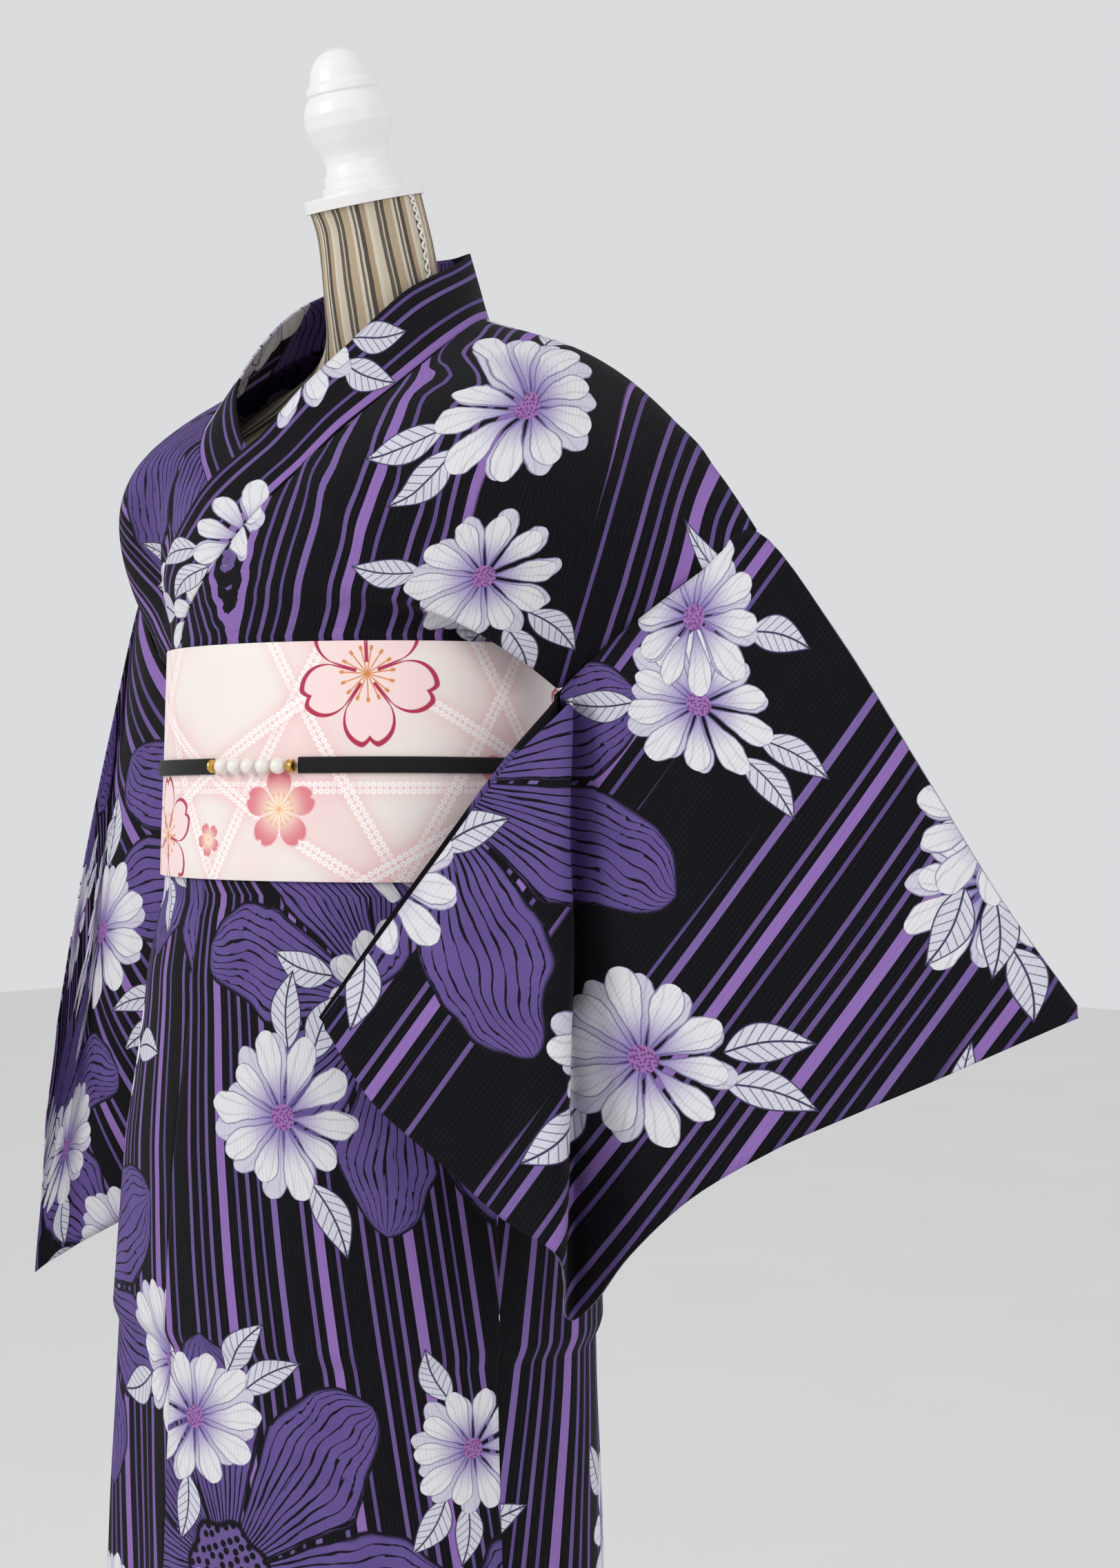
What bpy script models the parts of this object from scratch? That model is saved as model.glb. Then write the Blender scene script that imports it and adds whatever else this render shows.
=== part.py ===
"""Cotton yukata with a flat obi, worn by a limbless dress form on a plain stand.

Metres, +Z up. The origin is the middle of the stand's underside. The front faces -Y and +X is the
wearer's left. Angles round the body are in degrees from the front, positive towards the wearer's left.
Cloth walls are open surfaces worked out from the tables below and thickened by a Solidify modifier.
"""

import math

import bpy
from mathutils import Matrix, Vector

CLOTH = 0.0016  # thickness of one layer of cotton, with its seam allowances
OBI_CLOTH = 0.0020
SEAM = 0.0004  # each edge stops this far short of a seam that runs on flat
SEWN_EDGE = 0.0010  # and this far short of a seam where the cloth turns
STEP = 9  # degrees between two columns of a body ring

# How far the middle of each layer stands off the body ring.
UNDER_LAYER = 0.0012
OVER_LAYER = 0.0040
OBI_LAYER = 0.0067

HEM_Z = 0.10
OBI_BOTTOM = 0.985
OBI_TOP = 1.145
TUCK_Z = 0.680  # the crease of the folded-over waist

# Angles of the seams below the obi.
SIDE_SEAM = 72
OKUMI_SEAM = -9
OKUMI_EDGE = -54
COLLAR_AT_OBI = -27
COLLAR_EDGE_AT_OBI = -48

# height, half width, half depth of the robe below the bust
BODY_RINGS = [
    (0.100, 0.203, 0.166),
    (0.300, 0.199, 0.161),
    (0.490, 0.193, 0.155),
    (0.640, 0.186, 0.149),
    (0.800, 0.178, 0.142),
    (0.920, 0.165, 0.132),
    (0.975, 0.152, 0.122),
    (1.155, 0.146, 0.117),
]

# height, half width, half depth, how far back the middle lies: the padded form inside
FORM_RINGS = [
    (0.620, 0.130, 0.104, 0.004),
    (0.640, 0.150, 0.120, 0.004),
    (0.760, 0.163, 0.129, 0.004),
    (0.880, 0.160, 0.126, 0.002),
    (0.975, 0.1515, 0.1215, 0.000),
    (1.155, 0.1455, 0.1165, 0.000),
    (1.200, 0.149, 0.105, 0.004),
    (1.250, 0.160, 0.096, 0.016),
    (1.290, 0.176, 0.080, 0.030),
    (1.314, 0.181, 0.060, 0.040),
    (1.332, 0.150, 0.050, 0.043),
    (1.349, 0.090, 0.047, 0.040),
    (1.368, 0.053, 0.046, 0.033),
    (1.400, 0.0435, 0.0435, 0.0235),
    (1.440, 0.0415, 0.0415, 0.0150),
]

# The sleeve is sewn on from the armpit up to the end of the shoulder.
ARMPIT = Vector((0.188, 0.000, 1.114))
SHOULDER_END = Vector((0.312, 0.056, 1.215))
ARMHOLE_HALF_GAP = 0.012
LAYERS_APART = 0.0016  # half the distance between the two layers of a sleeve where they are sewn

# The collar on the wearer's left, from inside the obi up and round to the nape.
# name, point on the seam with the body, point on the free edge
COLLAR = [
    ("low_chest", (-0.036, -0.121, 1.183), (-0.092, -0.104, 1.200)),
    ("chest", (0.000, -0.124, 1.213), (-0.056, -0.114, 1.237)),
    ("high_chest", (0.030, -0.118, 1.240), (-0.022, -0.117, 1.263)),
    ("crossing", (0.055, -0.105, 1.264), (0.012, -0.107, 1.287)),
    ("throat", (0.075, -0.090, 1.288), (0.037, -0.090, 1.320)),
    ("collarbone", (0.091, -0.058, 1.317), (0.051, -0.060, 1.352)),
    ("neck_front", (0.090, -0.010, 1.350), (0.057, -0.012, 1.394)),
    ("neck_side", (0.080, 0.035, 1.375), (0.052, 0.040, 1.420)),
    ("neck_back", (0.050, 0.080, 1.388), (0.034, 0.077, 1.438)),
    ("nape", (0.000, 0.106, 1.394), (0.000, 0.095, 1.442)),
]
COLLAR_COLUMNS = 3
COLLAR_IN_OBI_Z = 1.115
COLLAR_OUT_OF_OBI_Z = 1.156
COLLAR_LEAVES_BODY_Z = 1.23
RIGHT_COLLAR_DEEPER = 0.0070  # the wearer's right collar lies this far under the left one
# height, y: the seam down the middle of the back, from the obi up to the nape
BACK_SEAM = [
    (1.153, 0.1185),
    (1.160, 0.1280),
    (1.200, 0.1330),
    (1.250, 0.1335),
    (1.300, 0.1290),
    (1.350, 0.1190),
    (1.394, 0.1060),
]

# The side seam where the waist bags over the obi: name, angle, height, how far off the body ring
SIDE_ROWS = [
    ("obi_top", 72, 1.153, 0.0012),
    ("under_fold", 73, 1.158, 0.0080),
    ("fold", 78, 1.152, 0.0200),
    ("droop", 84, 1.134, 0.0330),
]
# How far the middle of the panels swells out, and rises, at the armpit, mid armhole and shoulder
FRONT_SWELL = [(0.004, 0.008), (0.012, 0.020), (0.000, 0.034)]
BACK_SWELL = [(0.002, 0.010), (0.008, 0.026), (0.000, 0.034)]

# The hanging sleeves, as stations along the cloth from the corner by the body to the wrist corner.
# name, upper end, lower end, half of the room inside the bag
LEFT_SLEEVE = [
    ("corner", (0.130, -0.160, 0.902), (0.133, -0.156, 0.893), 0.004),
    ("front_1", (0.145, -0.131, 0.946), (0.166, -0.149, 0.851), 0.007),
    ("front_2", (0.170, -0.096, 1.004), (0.208, -0.134, 0.817), 0.009),
    ("front_3", (0.193, -0.058, 1.062), (0.250, -0.120, 0.784), 0.009),
    ("ridge", (0.214, -0.024, 1.104), (0.286, -0.108, 0.762), 0.006),
    ("valley", (0.190, 0.000, 1.112), (0.246, -0.056, 0.712), 0.006),
    ("turn", (0.207, 0.008, 1.128), (0.263, -0.050, 0.722), 0.010),
    ("back_1", (0.236, 0.021, 1.151), (0.290, -0.046, 0.756), 0.014),
    ("back_2", (0.272, 0.038, 1.180), (0.328, -0.032, 0.794), 0.016),
    ("shoulder", (0.312, 0.056, 1.215), (0.370, -0.006, 0.824), 0.017),
    ("fall_1", (0.368, 0.066, 1.146), (0.412, 0.018, 0.847), 0.016),
    ("fall_2", (0.424, 0.078, 1.059), (0.451, 0.046, 0.868), 0.013),
    ("fall_3", (0.474, 0.090, 0.979), (0.487, 0.077, 0.889), 0.009),
    ("wrist", (0.519, 0.104, 0.915), (0.520, 0.103, 0.908), 0.003),
]
RIGHT_SLEEVE = [
    ("corner", (-0.222, 0.168, 0.872), (-0.222, 0.164, 0.862), 0.004),
    ("back_1", (-0.225, 0.124, 0.950), (-0.234, 0.128, 0.806), 0.008),
    ("back_2", (-0.222, 0.078, 1.036), (-0.247, 0.094, 0.762), 0.010),
    ("back_3", (-0.212, 0.032, 1.096), (-0.262, 0.066, 0.735), 0.009),
    ("armpit", (-0.190, 0.000, 1.112), (-0.275, 0.046, 0.722), 0.008),
    ("front_1", (-0.220, 0.014, 1.138), (-0.296, 0.032, 0.704), 0.013),
    ("front_2", (-0.262, 0.033, 1.172), (-0.318, 0.020, 0.690), 0.016),
    ("shoulder", (-0.312, 0.056, 1.215), (-0.338, 0.010, 0.678), 0.016),
    ("fall_1", (-0.323, 0.030, 1.096), (-0.352, 0.002, 0.668), 0.015),
    ("fall_2", (-0.330, 0.004, 0.970), (-0.364, -0.004, 0.660), 0.010),
    ("wrist", (-0.334, -0.016, 0.856), (-0.374, -0.008, 0.652), 0.003),
]
SLEEVE_ROWS = 7
# The station that hangs at the armpit, and the one where the lower edge opens as the wrist.
LEFT_ARMPIT, RIGHT_ARMPIT = "valley", "armpit"
LEFT_WRIST_FROM = "shoulder"
ARMHOLE_ROWS = 12

# The skirt's soft upright folds: angle, half width in degrees, depth, top, and reach round the hem
SKIRT_FOLDS = [
    (-40, 10, 0.0050, 0.94),
    (-20, 8, -0.0040, 0.90),
    (8, 12, 0.0045, 0.60),
    (38, 12, -0.0045, 0.66),
    (96, 12, 0.0060, 0.80),
    (124, 12, -0.0060, 0.84),
    (152, 12, 0.0060, 0.80),
    (-96, 12, 0.0060, 0.84),
    (-126, 12, -0.0060, 0.80),
    (-154, 12, 0.0060, 0.84),
]
TUCK_OUT = 0.005  # the folded waist stands this far over the skirt below it

NECK_LEAN = math.radians(16.5)
NECK_TOP = Vector((0, 0.0050, 1.4668))
# height above the neck, radius: the turned finial, bottom to top
FINIAL = [
    (0.000, 0.0435),
    (0.009, 0.0435),
    (0.0092, 0.0290),
    (0.015, 0.0285),
    (0.0165, 0.0262),
    (0.022, 0.0258),
    (0.024, 0.0238),
    (0.030, 0.0226),
    (0.036, 0.0236),
    (0.046, 0.0285),
    (0.056, 0.0315),
    (0.066, 0.0314),
    (0.074, 0.0285),
    (0.0785, 0.0252),
    (0.080, 0.0264),
    (0.0845, 0.0256),
    (0.088, 0.0222),
    (0.095, 0.0206),
    (0.102, 0.0168),
    (0.107, 0.0108),
    (0.1095, 0.0040),
    (0.110, 0.0000),
]

POLE_RADIUS = 0.016
BASE_RADIUS = 0.165
BASE_HEIGHT = 0.028
CORD_Z = 1.062
CORD_WIDTH = 0.012
CORD_THICK = 0.004
PEARL_RADIUS = 0.0055
PEARL_COUNT = 5
PEARLS_AT = 10  # angle of the middle pearl
PEARLS_REACH = 14.5  # the cord starts this many degrees to each side of it
OBI_END = 189  # angle of the belt's outer end, over its start
OBI_LAP_OUT = 0.0026


def clear_scene():
    for old in list(bpy.data.objects):
        bpy.data.objects.remove(old, do_unlink=True)


def make_material(name, colour, roughness, metallic=0.0):
    material = bpy.data.materials.new(name)
    material.use_nodes = True
    surface = material.node_tree.nodes["Principled BSDF"]
    surface.inputs["Base Color"].default_value = (*colour, 1.0)
    surface.inputs["Roughness"].default_value = roughness
    surface.inputs["Metallic"].default_value = metallic
    return material


def smooth(value, low, high):
    """0 below low, 1 above high, and an even turn between them."""
    share = min(1.0, max(0.0, (value - low) / (high - low)))
    return share * share * (3 - 2 * share)


def curve_through(points, share):
    """The point at a share of the way along an even-stepped smooth curve through points."""
    last = len(points) - 1
    place = min(max(share, 0.0), 1.0) * last
    i = min(int(place), last - 1)
    t = place - i
    before = points[max(i - 1, 0)]
    start, end = points[i], points[i + 1]
    after = points[min(i + 2, last)]
    pull_in = (end - before) * 0.5
    pull_out = (after - start) * 0.5
    return (
        start * (2 * t**3 - 3 * t**2 + 1)
        + pull_in * (t**3 - 2 * t**2 + t)
        + end * (3 * t**2 - 2 * t**3)
        + pull_out * (t**3 - t**2)
    )


def ring_sizes(z, rings):
    """The sizes in a table of rings at a height, straight between two rows."""
    for low, high in zip(rings, rings[1:]):
        if z <= high[0]:
            t = max(0.0, (z - low[0]) / (high[0] - low[0]))
            return [a + (b - a) * t for a, b in zip(low[1:], high[1:])]
    return list(rings[-1][1:])


def fold_depth(angle, z):
    """How far the skirt's upright folds move its wall out at a place."""
    total = 0.0
    for middle, half_width, depth, top in SKIRT_FOLDS:
        away = (angle - middle + 180) % 360 - 180
        across = math.exp(-((away / half_width) ** 2))
        total += depth * across * smooth(top - z, 0.0, 0.35)
    return total


def on_ring(angle, z, out):
    """A point on the robe's lower ring, moved out."""
    half_width, half_depth = ring_sizes(z, BODY_RINGS)
    tuck = TUCK_OUT * smooth(z, TUCK_Z - 0.014, TUCK_Z) * (1 - smooth(z, 0.72, 0.92))
    out += fold_depth(angle, z) + tuck
    turn = math.radians(angle)
    return Vector(((half_width + out) * math.sin(turn), -(half_depth + out) * math.cos(turn), z))


def join_rows(low, high):
    """Faces between two rows of point numbers, which may differ in length."""
    faces = []
    i, j = 0, 0
    while i < len(low) - 1 or j < len(high) - 1:
        next_low = (i + 1) / (len(low) - 1)
        next_high = (j + 1) / (len(high) - 1)
        if i < len(low) - 1 and j < len(high) - 1 and abs(next_low - next_high) < 0.001:
            faces.append((low[i], low[i + 1], high[j + 1], high[j]))
            i, j = i + 1, j + 1
        elif j == len(high) - 1 or (i < len(low) - 1 and next_low < next_high):
            faces.append((low[i], low[i + 1], high[j]))
            i += 1
        else:
            faces.append((low[i], high[j + 1], high[j]))
            j += 1
    return faces


def add_shell(name, rows, thickness, material):
    """A cloth wall with its middle on rows of points."""
    points, numbers, faces = [], [], []
    for row in rows:
        numbers.append(range(len(points), len(points) + len(row)))
        points.extend(tuple(p) for p in row)
    for low, high in zip(numbers, numbers[1:]):
        faces.extend(join_rows(low, high))
    return add_wall(name, points, faces, thickness, material)


def add_wall(name, points, faces, thickness, material):
    mesh = bpy.data.meshes.new(name)
    mesh.from_pydata(points, [], faces)
    mesh.update()
    obj = bpy.data.objects.new(name, mesh)
    parts.objects.link(obj)
    mesh.materials.append(material)
    wall = obj.modifiers.new("Wall", "SOLIDIFY")
    wall.thickness = thickness
    wall.offset = 0.0
    mesh.shade_smooth()
    return obj


def add_turned(name, profile, material, sides=32):
    """A turned piece from its outline, given bottom to top as (height, radius)."""
    mesh = bpy.data.meshes.new(name)
    outline = [(radius, 0, height) for height, radius in reversed(profile)]
    if outline[-1][0] > 0:
        outline.append((0, 0, profile[0][0]))
    if outline[0][0] > 0:
        outline.insert(0, (0, 0, profile[-1][0]))
    mesh.from_pydata(outline, [(i, i + 1) for i in range(len(outline) - 1)], [])
    obj = bpy.data.objects.new(name, mesh)
    parts.objects.link(obj)
    mesh.materials.append(material)
    turn = obj.modifiers.new("Turn", "SCREW")
    turn.steps = turn.render_steps = sides
    turn.use_merge_vertices = True
    turn.merge_threshold = 0.0001
    return obj


# Body panels below the bust

LOWER_Z = [HEM_Z, 0.20, 0.30, 0.40, 0.49, 0.58, TUCK_Z - 0.014, TUCK_Z, 0.74, 0.80, 0.87, 0.93, 0.975]
OBI_Z = [1.065, 1.150]


def angles_between(start, end, columns):
    return [start + (end - start) * i / columns for i in range(columns + 1)]


def layer_out(angle, over):
    """The over layer sinks to the under layer's place where it reaches the side seam."""
    if not over:
        return UNDER_LAYER
    return OVER_LAYER + (UNDER_LAYER - OVER_LAYER) * smooth(angle, 56, SIDE_SEAM)


def trimmed(row, first_gap, last_gap):
    """The row with its two end points drawn back along the cloth from the seams."""
    start = row[0] + (row[1] - row[0]).normalized() * first_gap
    end = row[-1] + (row[-2] - row[-1]).normalized() * last_gap
    return [start] + row[1:-1] + [end]


def collar_seam_angle(z):
    """The front seam leaves the overlap panel and runs to the collar inside the obi."""
    return OKUMI_SEAM + (COLLAR_AT_OBI - OKUMI_SEAM) * smooth(z, OBI_BOTTOM, OBI_TOP)


def lower_front_rows(side):
    """Front panel from the hem to the obi's top. side is 1 on the wearer's left, which lies on top."""
    rows = []
    columns = (SIDE_SEAM - OKUMI_SEAM) // STEP
    for z in LOWER_Z + OBI_Z:
        angles = angles_between(collar_seam_angle(z), SIDE_SEAM, columns)
        row = [on_ring(side * a, z, layer_out(a, side > 0)) for a in angles]
        rows.append(trimmed(row, SEAM, SEAM))
    return rows


def okumi_rows(side):
    """Overlap panel from the hem to its narrow end inside the obi."""
    rows = []
    columns = (OKUMI_SEAM - OKUMI_EDGE) // STEP
    for z in LOWER_Z + OBI_Z[:1]:
        angles = angles_between(OKUMI_EDGE, collar_seam_angle(z), columns)
        row = [on_ring(side * a, z, layer_out(a, side > 0)) for a in angles]
        rows.append(trimmed(row, 0.0, SEAM))
    return rows


def lower_back_rows(side):
    """Back panel from the hem to the obi's top, from the middle of the back to the side."""
    rows = []
    angles = angles_between(180, SIDE_SEAM, (180 - SIDE_SEAM) // STEP)
    for z in LOWER_Z + OBI_Z:
        row = [on_ring(side * a, z, UNDER_LAYER) for a in angles]
        rows.append(trimmed(row, SEAM, SEAM))
    return rows


# Body panels above the obi


def off_ring(point):
    """(angle in degrees, distance off the body ring, height) of a point."""
    half_width, half_depth = ring_sizes(point.z, BODY_RINGS)
    out = 0.0
    for _ in range(20):
        turn = math.atan2(point.x / (half_width + out), -point.y / (half_depth + out))
        reached = math.hypot((half_width + out) * math.sin(turn), (half_depth + out) * math.cos(turn))
        out += math.hypot(point.x, point.y) - reached
    angle = math.degrees(turn)
    return Vector((angle + 360 if angle < -150 else angle, out, point.z))


def row_between(inner, outer, columns, bulge=0.0, rise=0.0, late=1.0):
    """Points from inner to outer round the body, the middle of the row pushed out and up.

    late is the power by which the distance off the body and the fall wait for the row's outer end.
    """
    start, end = off_ring(inner), off_ring(outer)
    points = [inner]
    for i in range(1, columns):
        swell = math.sin(math.pi * i / columns)
        share = (i / columns) ** late
        angle = start.x + (end.x - start.x) * i / columns
        z = start.z + (end.z - start.z) * share
        half_width, half_depth = ring_sizes(z, BODY_RINGS)
        out = start.y + (end.y - start.y) * share + bulge * swell
        turn = math.radians(angle)
        across = (half_width + out) * math.sin(turn)
        points.append(Vector((across, -(half_depth + out) * math.cos(turn), z + rise * swell)))
    return points + [outer]


def armhole_point(share, side):
    """On the armhole's seam: share 0 at the armpit and 1 at the shoulder, side -1 front and 1 back."""
    away = Vector((-0.40, 0.92, 0)).normalized() * side
    half = LAYERS_APART + ARMHOLE_HALF_GAP * math.sin(math.pi * share)
    return ARMPIT.lerp(SHOULDER_END, share) + away * half


def armhole_edge(share, side, spans):
    """The armhole's seam as the sleeve has it, straight between its stations."""
    low = min(int(share * spans + 0.0001), spans - 1)
    start, end = armhole_point(low / spans, side), armhole_point((low + 1) / spans, side)
    return start.lerp(end, share * spans - low)


def outer_edge(side, spans):
    """The side seam's points above the obi, then the armhole's up to the shoulder."""
    points = [on_ring(angle, z, out) for _, angle, z, out in SIDE_ROWS]
    points += [armhole_edge(k / ARMHOLE_ROWS, side, spans) for k in range(ARMHOLE_ROWS)]
    return points + [SHOULDER_END]


def upper_rows(seam, edge, swells, seam_gaps, lifted, late):
    """Rows from the collar or the middle of the back to the armhole.

    lifted clears what lies under, and late keeps the lowest rows close to the body for longer.
    """
    columns = (SIDE_SEAM - OKUMI_SEAM) // STEP
    rows = []
    swells = [Vector(pair) for pair in swells]
    for k, (inner, outer) in enumerate(zip(seam, edge)):
        at_armhole = k >= len(SIDE_ROWS)
        share = max(0, k - len(SIDE_ROWS)) / ARMHOLE_ROWS
        bulge, rise = curve_through(swells, share)
        if not at_armhole:
            bulge, rise = bulge * k / len(SIDE_ROWS), rise * k / len(SIDE_ROWS)
        bulge += lifted * (1 - share)
        power = late + (1 - late) * smooth(k, 4, 12)
        row = row_between(inner, outer, columns, bulge, rise, power)
        rows.append(trimmed(row, seam_gaps[k], SEWN_EDGE if at_armhole else SEAM))
    return rows


def build_body(side, spans, cotton):
    """One body length: up the front, over the shoulder and down the back without a seam."""
    seam = [section[0] for section in collar_half(side)]
    if side < 0:
        seam = [Vector((-p.x, p.y, p.z)) for p in seam]
    count = len(SIDE_ROWS) + ARMHOLE_ROWS + 1
    front_seam = seam[2 : 2 + count]
    neck = seam[1 + count :][::-1]
    middle = [Vector((0, y, z)) for z, y in BACK_SEAM]
    up_back = count - len(neck)
    back_seam = [curve_through(middle, k / up_back) for k in range(up_back)] + neck
    collar_gaps = [SEWN_EDGE] * count
    back_gaps = [SEWN_EDGE] * count
    lifted, late = ((OVER_LAYER - UNDER_LAYER) * 0.8, 1.4) if side > 0 else (0.0, 4.0)
    front = upper_rows(front_seam, outer_edge(-1, spans), FRONT_SWELL, collar_gaps, lifted, late)
    back = upper_rows(back_seam, outer_edge(1, spans), BACK_SWELL, back_gaps, 0.0, 1.0)
    upper = front + back[-2::-1]
    if side < 0:
        upper = [[Vector((-p.x, p.y, p.z)) for p in row] for row in upper]
    rows = lower_front_rows(side) + upper + lower_back_rows(side)[::-1]
    name = "left" if side > 0 else "right"
    add_shell(f"body_{name}", rows, CLOTH, cotton)
    add_shell(f"okumi_{name}", okumi_rows(side), CLOTH, cotton)


def collar_stations(side):
    """(seam edge, free edge) from inside the obi to the nape. side -1 is the wearer's right, underneath."""
    stations = []
    for z in (COLLAR_IN_OBI_Z, COLLAR_OUT_OF_OBI_Z):
        out = OVER_LAYER if side > 0 else UNDER_LAYER
        stations.append([on_ring(a, z, out) for a in (COLLAR_AT_OBI, COLLAR_EDGE_AT_OBI)])
    for k, (_, seam, free) in enumerate(COLLAR):
        deeper = RIGHT_COLLAR_DEEPER * (1 - smooth(k, 2.6, 5.4)) if side < 0 else 0.0
        pair = []
        for point in (seam, free):
            point = Vector(point)
            flat = Vector((point.x, point.y, 0))
            pair.append(point - flat.normalized() * deeper)
        stations.append(pair)
    return [[Vector((p.x * side, p.y, p.z)) for p in pair] for pair in stations]


def collar_sections():
    """Sections all the way round, two for each station, seam edge first."""
    stations = collar_stations(1) + collar_stations(-1)[-2::-1]
    seam = [pair[0] for pair in stations]
    free = [pair[1] for pair in stations]
    last = 2 * (len(stations) - 1)
    return [(curve_through(seam, i / last), curve_through(free, i / last)) for i in range(last + 1)]


def collar_half(side):
    sections = collar_sections()
    middle = len(sections) // 2
    return sections[: middle + 1] if side > 0 else sections[middle:][::-1]


def build_collar(cotton):
    rows = []
    for seam, free in collar_sections():
        row = [seam.lerp(free, j / COLLAR_COLUMNS) for j in range(COLLAR_COLUMNS + 1)]
        if seam.z < COLLAR_LEAVES_BODY_Z:
            row = row_between(seam, free, COLLAR_COLUMNS)
        rows.append(trimmed(row, SEWN_EDGE, 0.0))
    add_shell("collar", rows, CLOTH, cotton)


# Sleeves


def across(before, here, after):
    """Level direction to the right of a path where it passes a point."""
    along = (here - before).normalized() + (after - here).normalized()
    return along.cross(Vector((0, 0, 1))).normalized()


def sleeve_layers(table, armpit, first_side):
    """For each station, the points down its two layers. first_side is the armhole side of the first."""
    names = [row[0] for row in table]
    start, end = names.index(armpit), names.index("shoulder")
    mirror = 1 if table[0][1][0] > 0 else -1
    tops = [Vector(row[1]) for row in table]
    lows = [Vector(row[2]) for row in table]
    stations = []
    for i, (top, low) in enumerate(zip(tops, lows)):
        room = table[i][3]
        a, b = max(i - 1, 0), min(i + 1, len(table) - 1)
        top_way, low_way = across(tops[a], top, tops[b]), across(lows[a], low, lows[b])
        apart = room if i < start else LAYERS_APART * (2.2 if i == start else 1.0)
        edges = [top + top_way * apart, top - top_way * apart]
        if start < i <= end:
            share = (i - start) / (end - start)
            edges = [armhole_point(share, first_side), armhole_point(share, -first_side)]
            edges = [Vector((p.x * mirror, p.y, p.z)) for p in edges]
        if start <= i <= end:
            edges = [p + (low - p).normalized() * SEWN_EDGE for p in edges]
        layers = []
        for sign, edge in zip((1, -1), edges):
            bottom = low + low_way * sign * LAYERS_APART
            layer = []
            for j in range(SLEEVE_ROWS + 1):
                t = j / SLEEVE_ROWS
                belly = room * math.sin(math.pi * t) if i >= start else room * (t - t**3)
                layer.append(edge.lerp(bottom, t) + top_way.lerp(low_way, t) * sign * belly)
            layers.append(layer)
        stations.append(layers)
    return stations, names


def build_sleeve(name, table, armpit, first_side, wrist_from, cotton):
    """A bag of two layers: shut along the bottom and the shoulder's fold, open at wrist and armhole."""
    stations, names = sleeve_layers(table, armpit, first_side)
    points, faces = [], []
    for first, second in stations:
        points += [tuple(p) for p in first + second[::-1]]
    wide = 2 * (SLEEVE_ROWS + 1)
    for i in range(len(stations) - 1):
        shut_top = i >= names.index("shoulder")
        open_low = wrist_from is not None and i >= names.index(wrist_from)
        for j in range(wide):
            if (j == wide - 1 and not shut_top) or (j == SLEEVE_ROWS and open_low):
                continue
            k = (j + 1) % wide
            faces.append((i * wide + j, i * wide + k, (i + 1) * wide + k, (i + 1) * wide + j))
    add_wall(name, points, faces, CLOTH, cotton)


# Belt


def belt_out(angle):
    """Extra distance where the belt's end lies over its start, at the back."""
    return OBI_LAP_OUT * smooth(angle, OBI_END - 55, OBI_END - 37)


def build_obi(satin, velvet, pearl, gold):
    angles = range(OBI_END - 360 - 36, OBI_END + 1, STEP)
    band = [[on_ring(a, z, OBI_LAYER + belt_out(a)) for a in angles] for z in (OBI_BOTTOM, 1.065, OBI_TOP)]
    add_shell("obi_band", band, OBI_CLOTH, satin)
    cord_out = OBI_LAYER + OBI_CLOTH / 2 + CORD_THICK / 2 + 0.0003
    start, end = PEARLS_AT + PEARLS_REACH, PEARLS_AT + 360 - PEARLS_REACH
    inside = [a for a in range(0, 720, STEP) if start + 1 < a < end - 1]
    cord_angles = [start] + inside + [end]
    lap = [OBI_LAP_OUT if OBI_END - 46 < a < OBI_END + 5 else 0.0 for a in cord_angles]
    cord = [
        [on_ring(a, z, cord_out + over) for a, over in zip(cord_angles, lap)]
        for z in (CORD_Z - CORD_WIDTH / 2, CORD_Z + CORD_WIDTH / 2)
    ]
    add_shell("obi_cord", cord, CORD_THICK, velvet)
    build_pearls(pearl, gold)


def build_pearls(pearl, gold):
    pearl_out = OBI_LAYER + OBI_CLOTH / 2 + PEARL_RADIUS + 0.0004
    spread = math.degrees(2 * (PEARL_RADIUS + 0.0002) / 0.150)
    for i in range(PEARL_COUNT):
        angle = PEARLS_AT + (i - (PEARL_COUNT - 1) / 2) * spread
        bpy.ops.mesh.primitive_uv_sphere_add(segments=14, ring_count=8, radius=PEARL_RADIUS)
        bead = take_active(f"pearl_{i + 1}", pearl)
        bead.location = on_ring(angle, CORD_Z, pearl_out)
    for side in (-1, 1):
        angle = PEARLS_AT + side * (PEARL_COUNT / 2 * spread + 1.2)
        bpy.ops.mesh.primitive_cylinder_add(vertices=16, radius=0.0044, depth=0.0044)
        tip = take_active(f"clasp_{'left' if side > 0 else 'right'}", gold)
        tip.location = on_ring(angle, CORD_Z, pearl_out - 0.0008)
        tip.rotation_euler = (0, math.pi / 2, math.radians(angle))


def take_active(name, material):
    """Moves the primitive just added into the part's collection, with its name and material."""
    obj = bpy.context.object
    for collection in list(obj.users_collection):
        collection.objects.unlink(obj)
    parts.objects.link(obj)
    obj.name = obj.data.name = name
    obj.data.materials.append(material)
    return obj


# Dress form and stand


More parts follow.
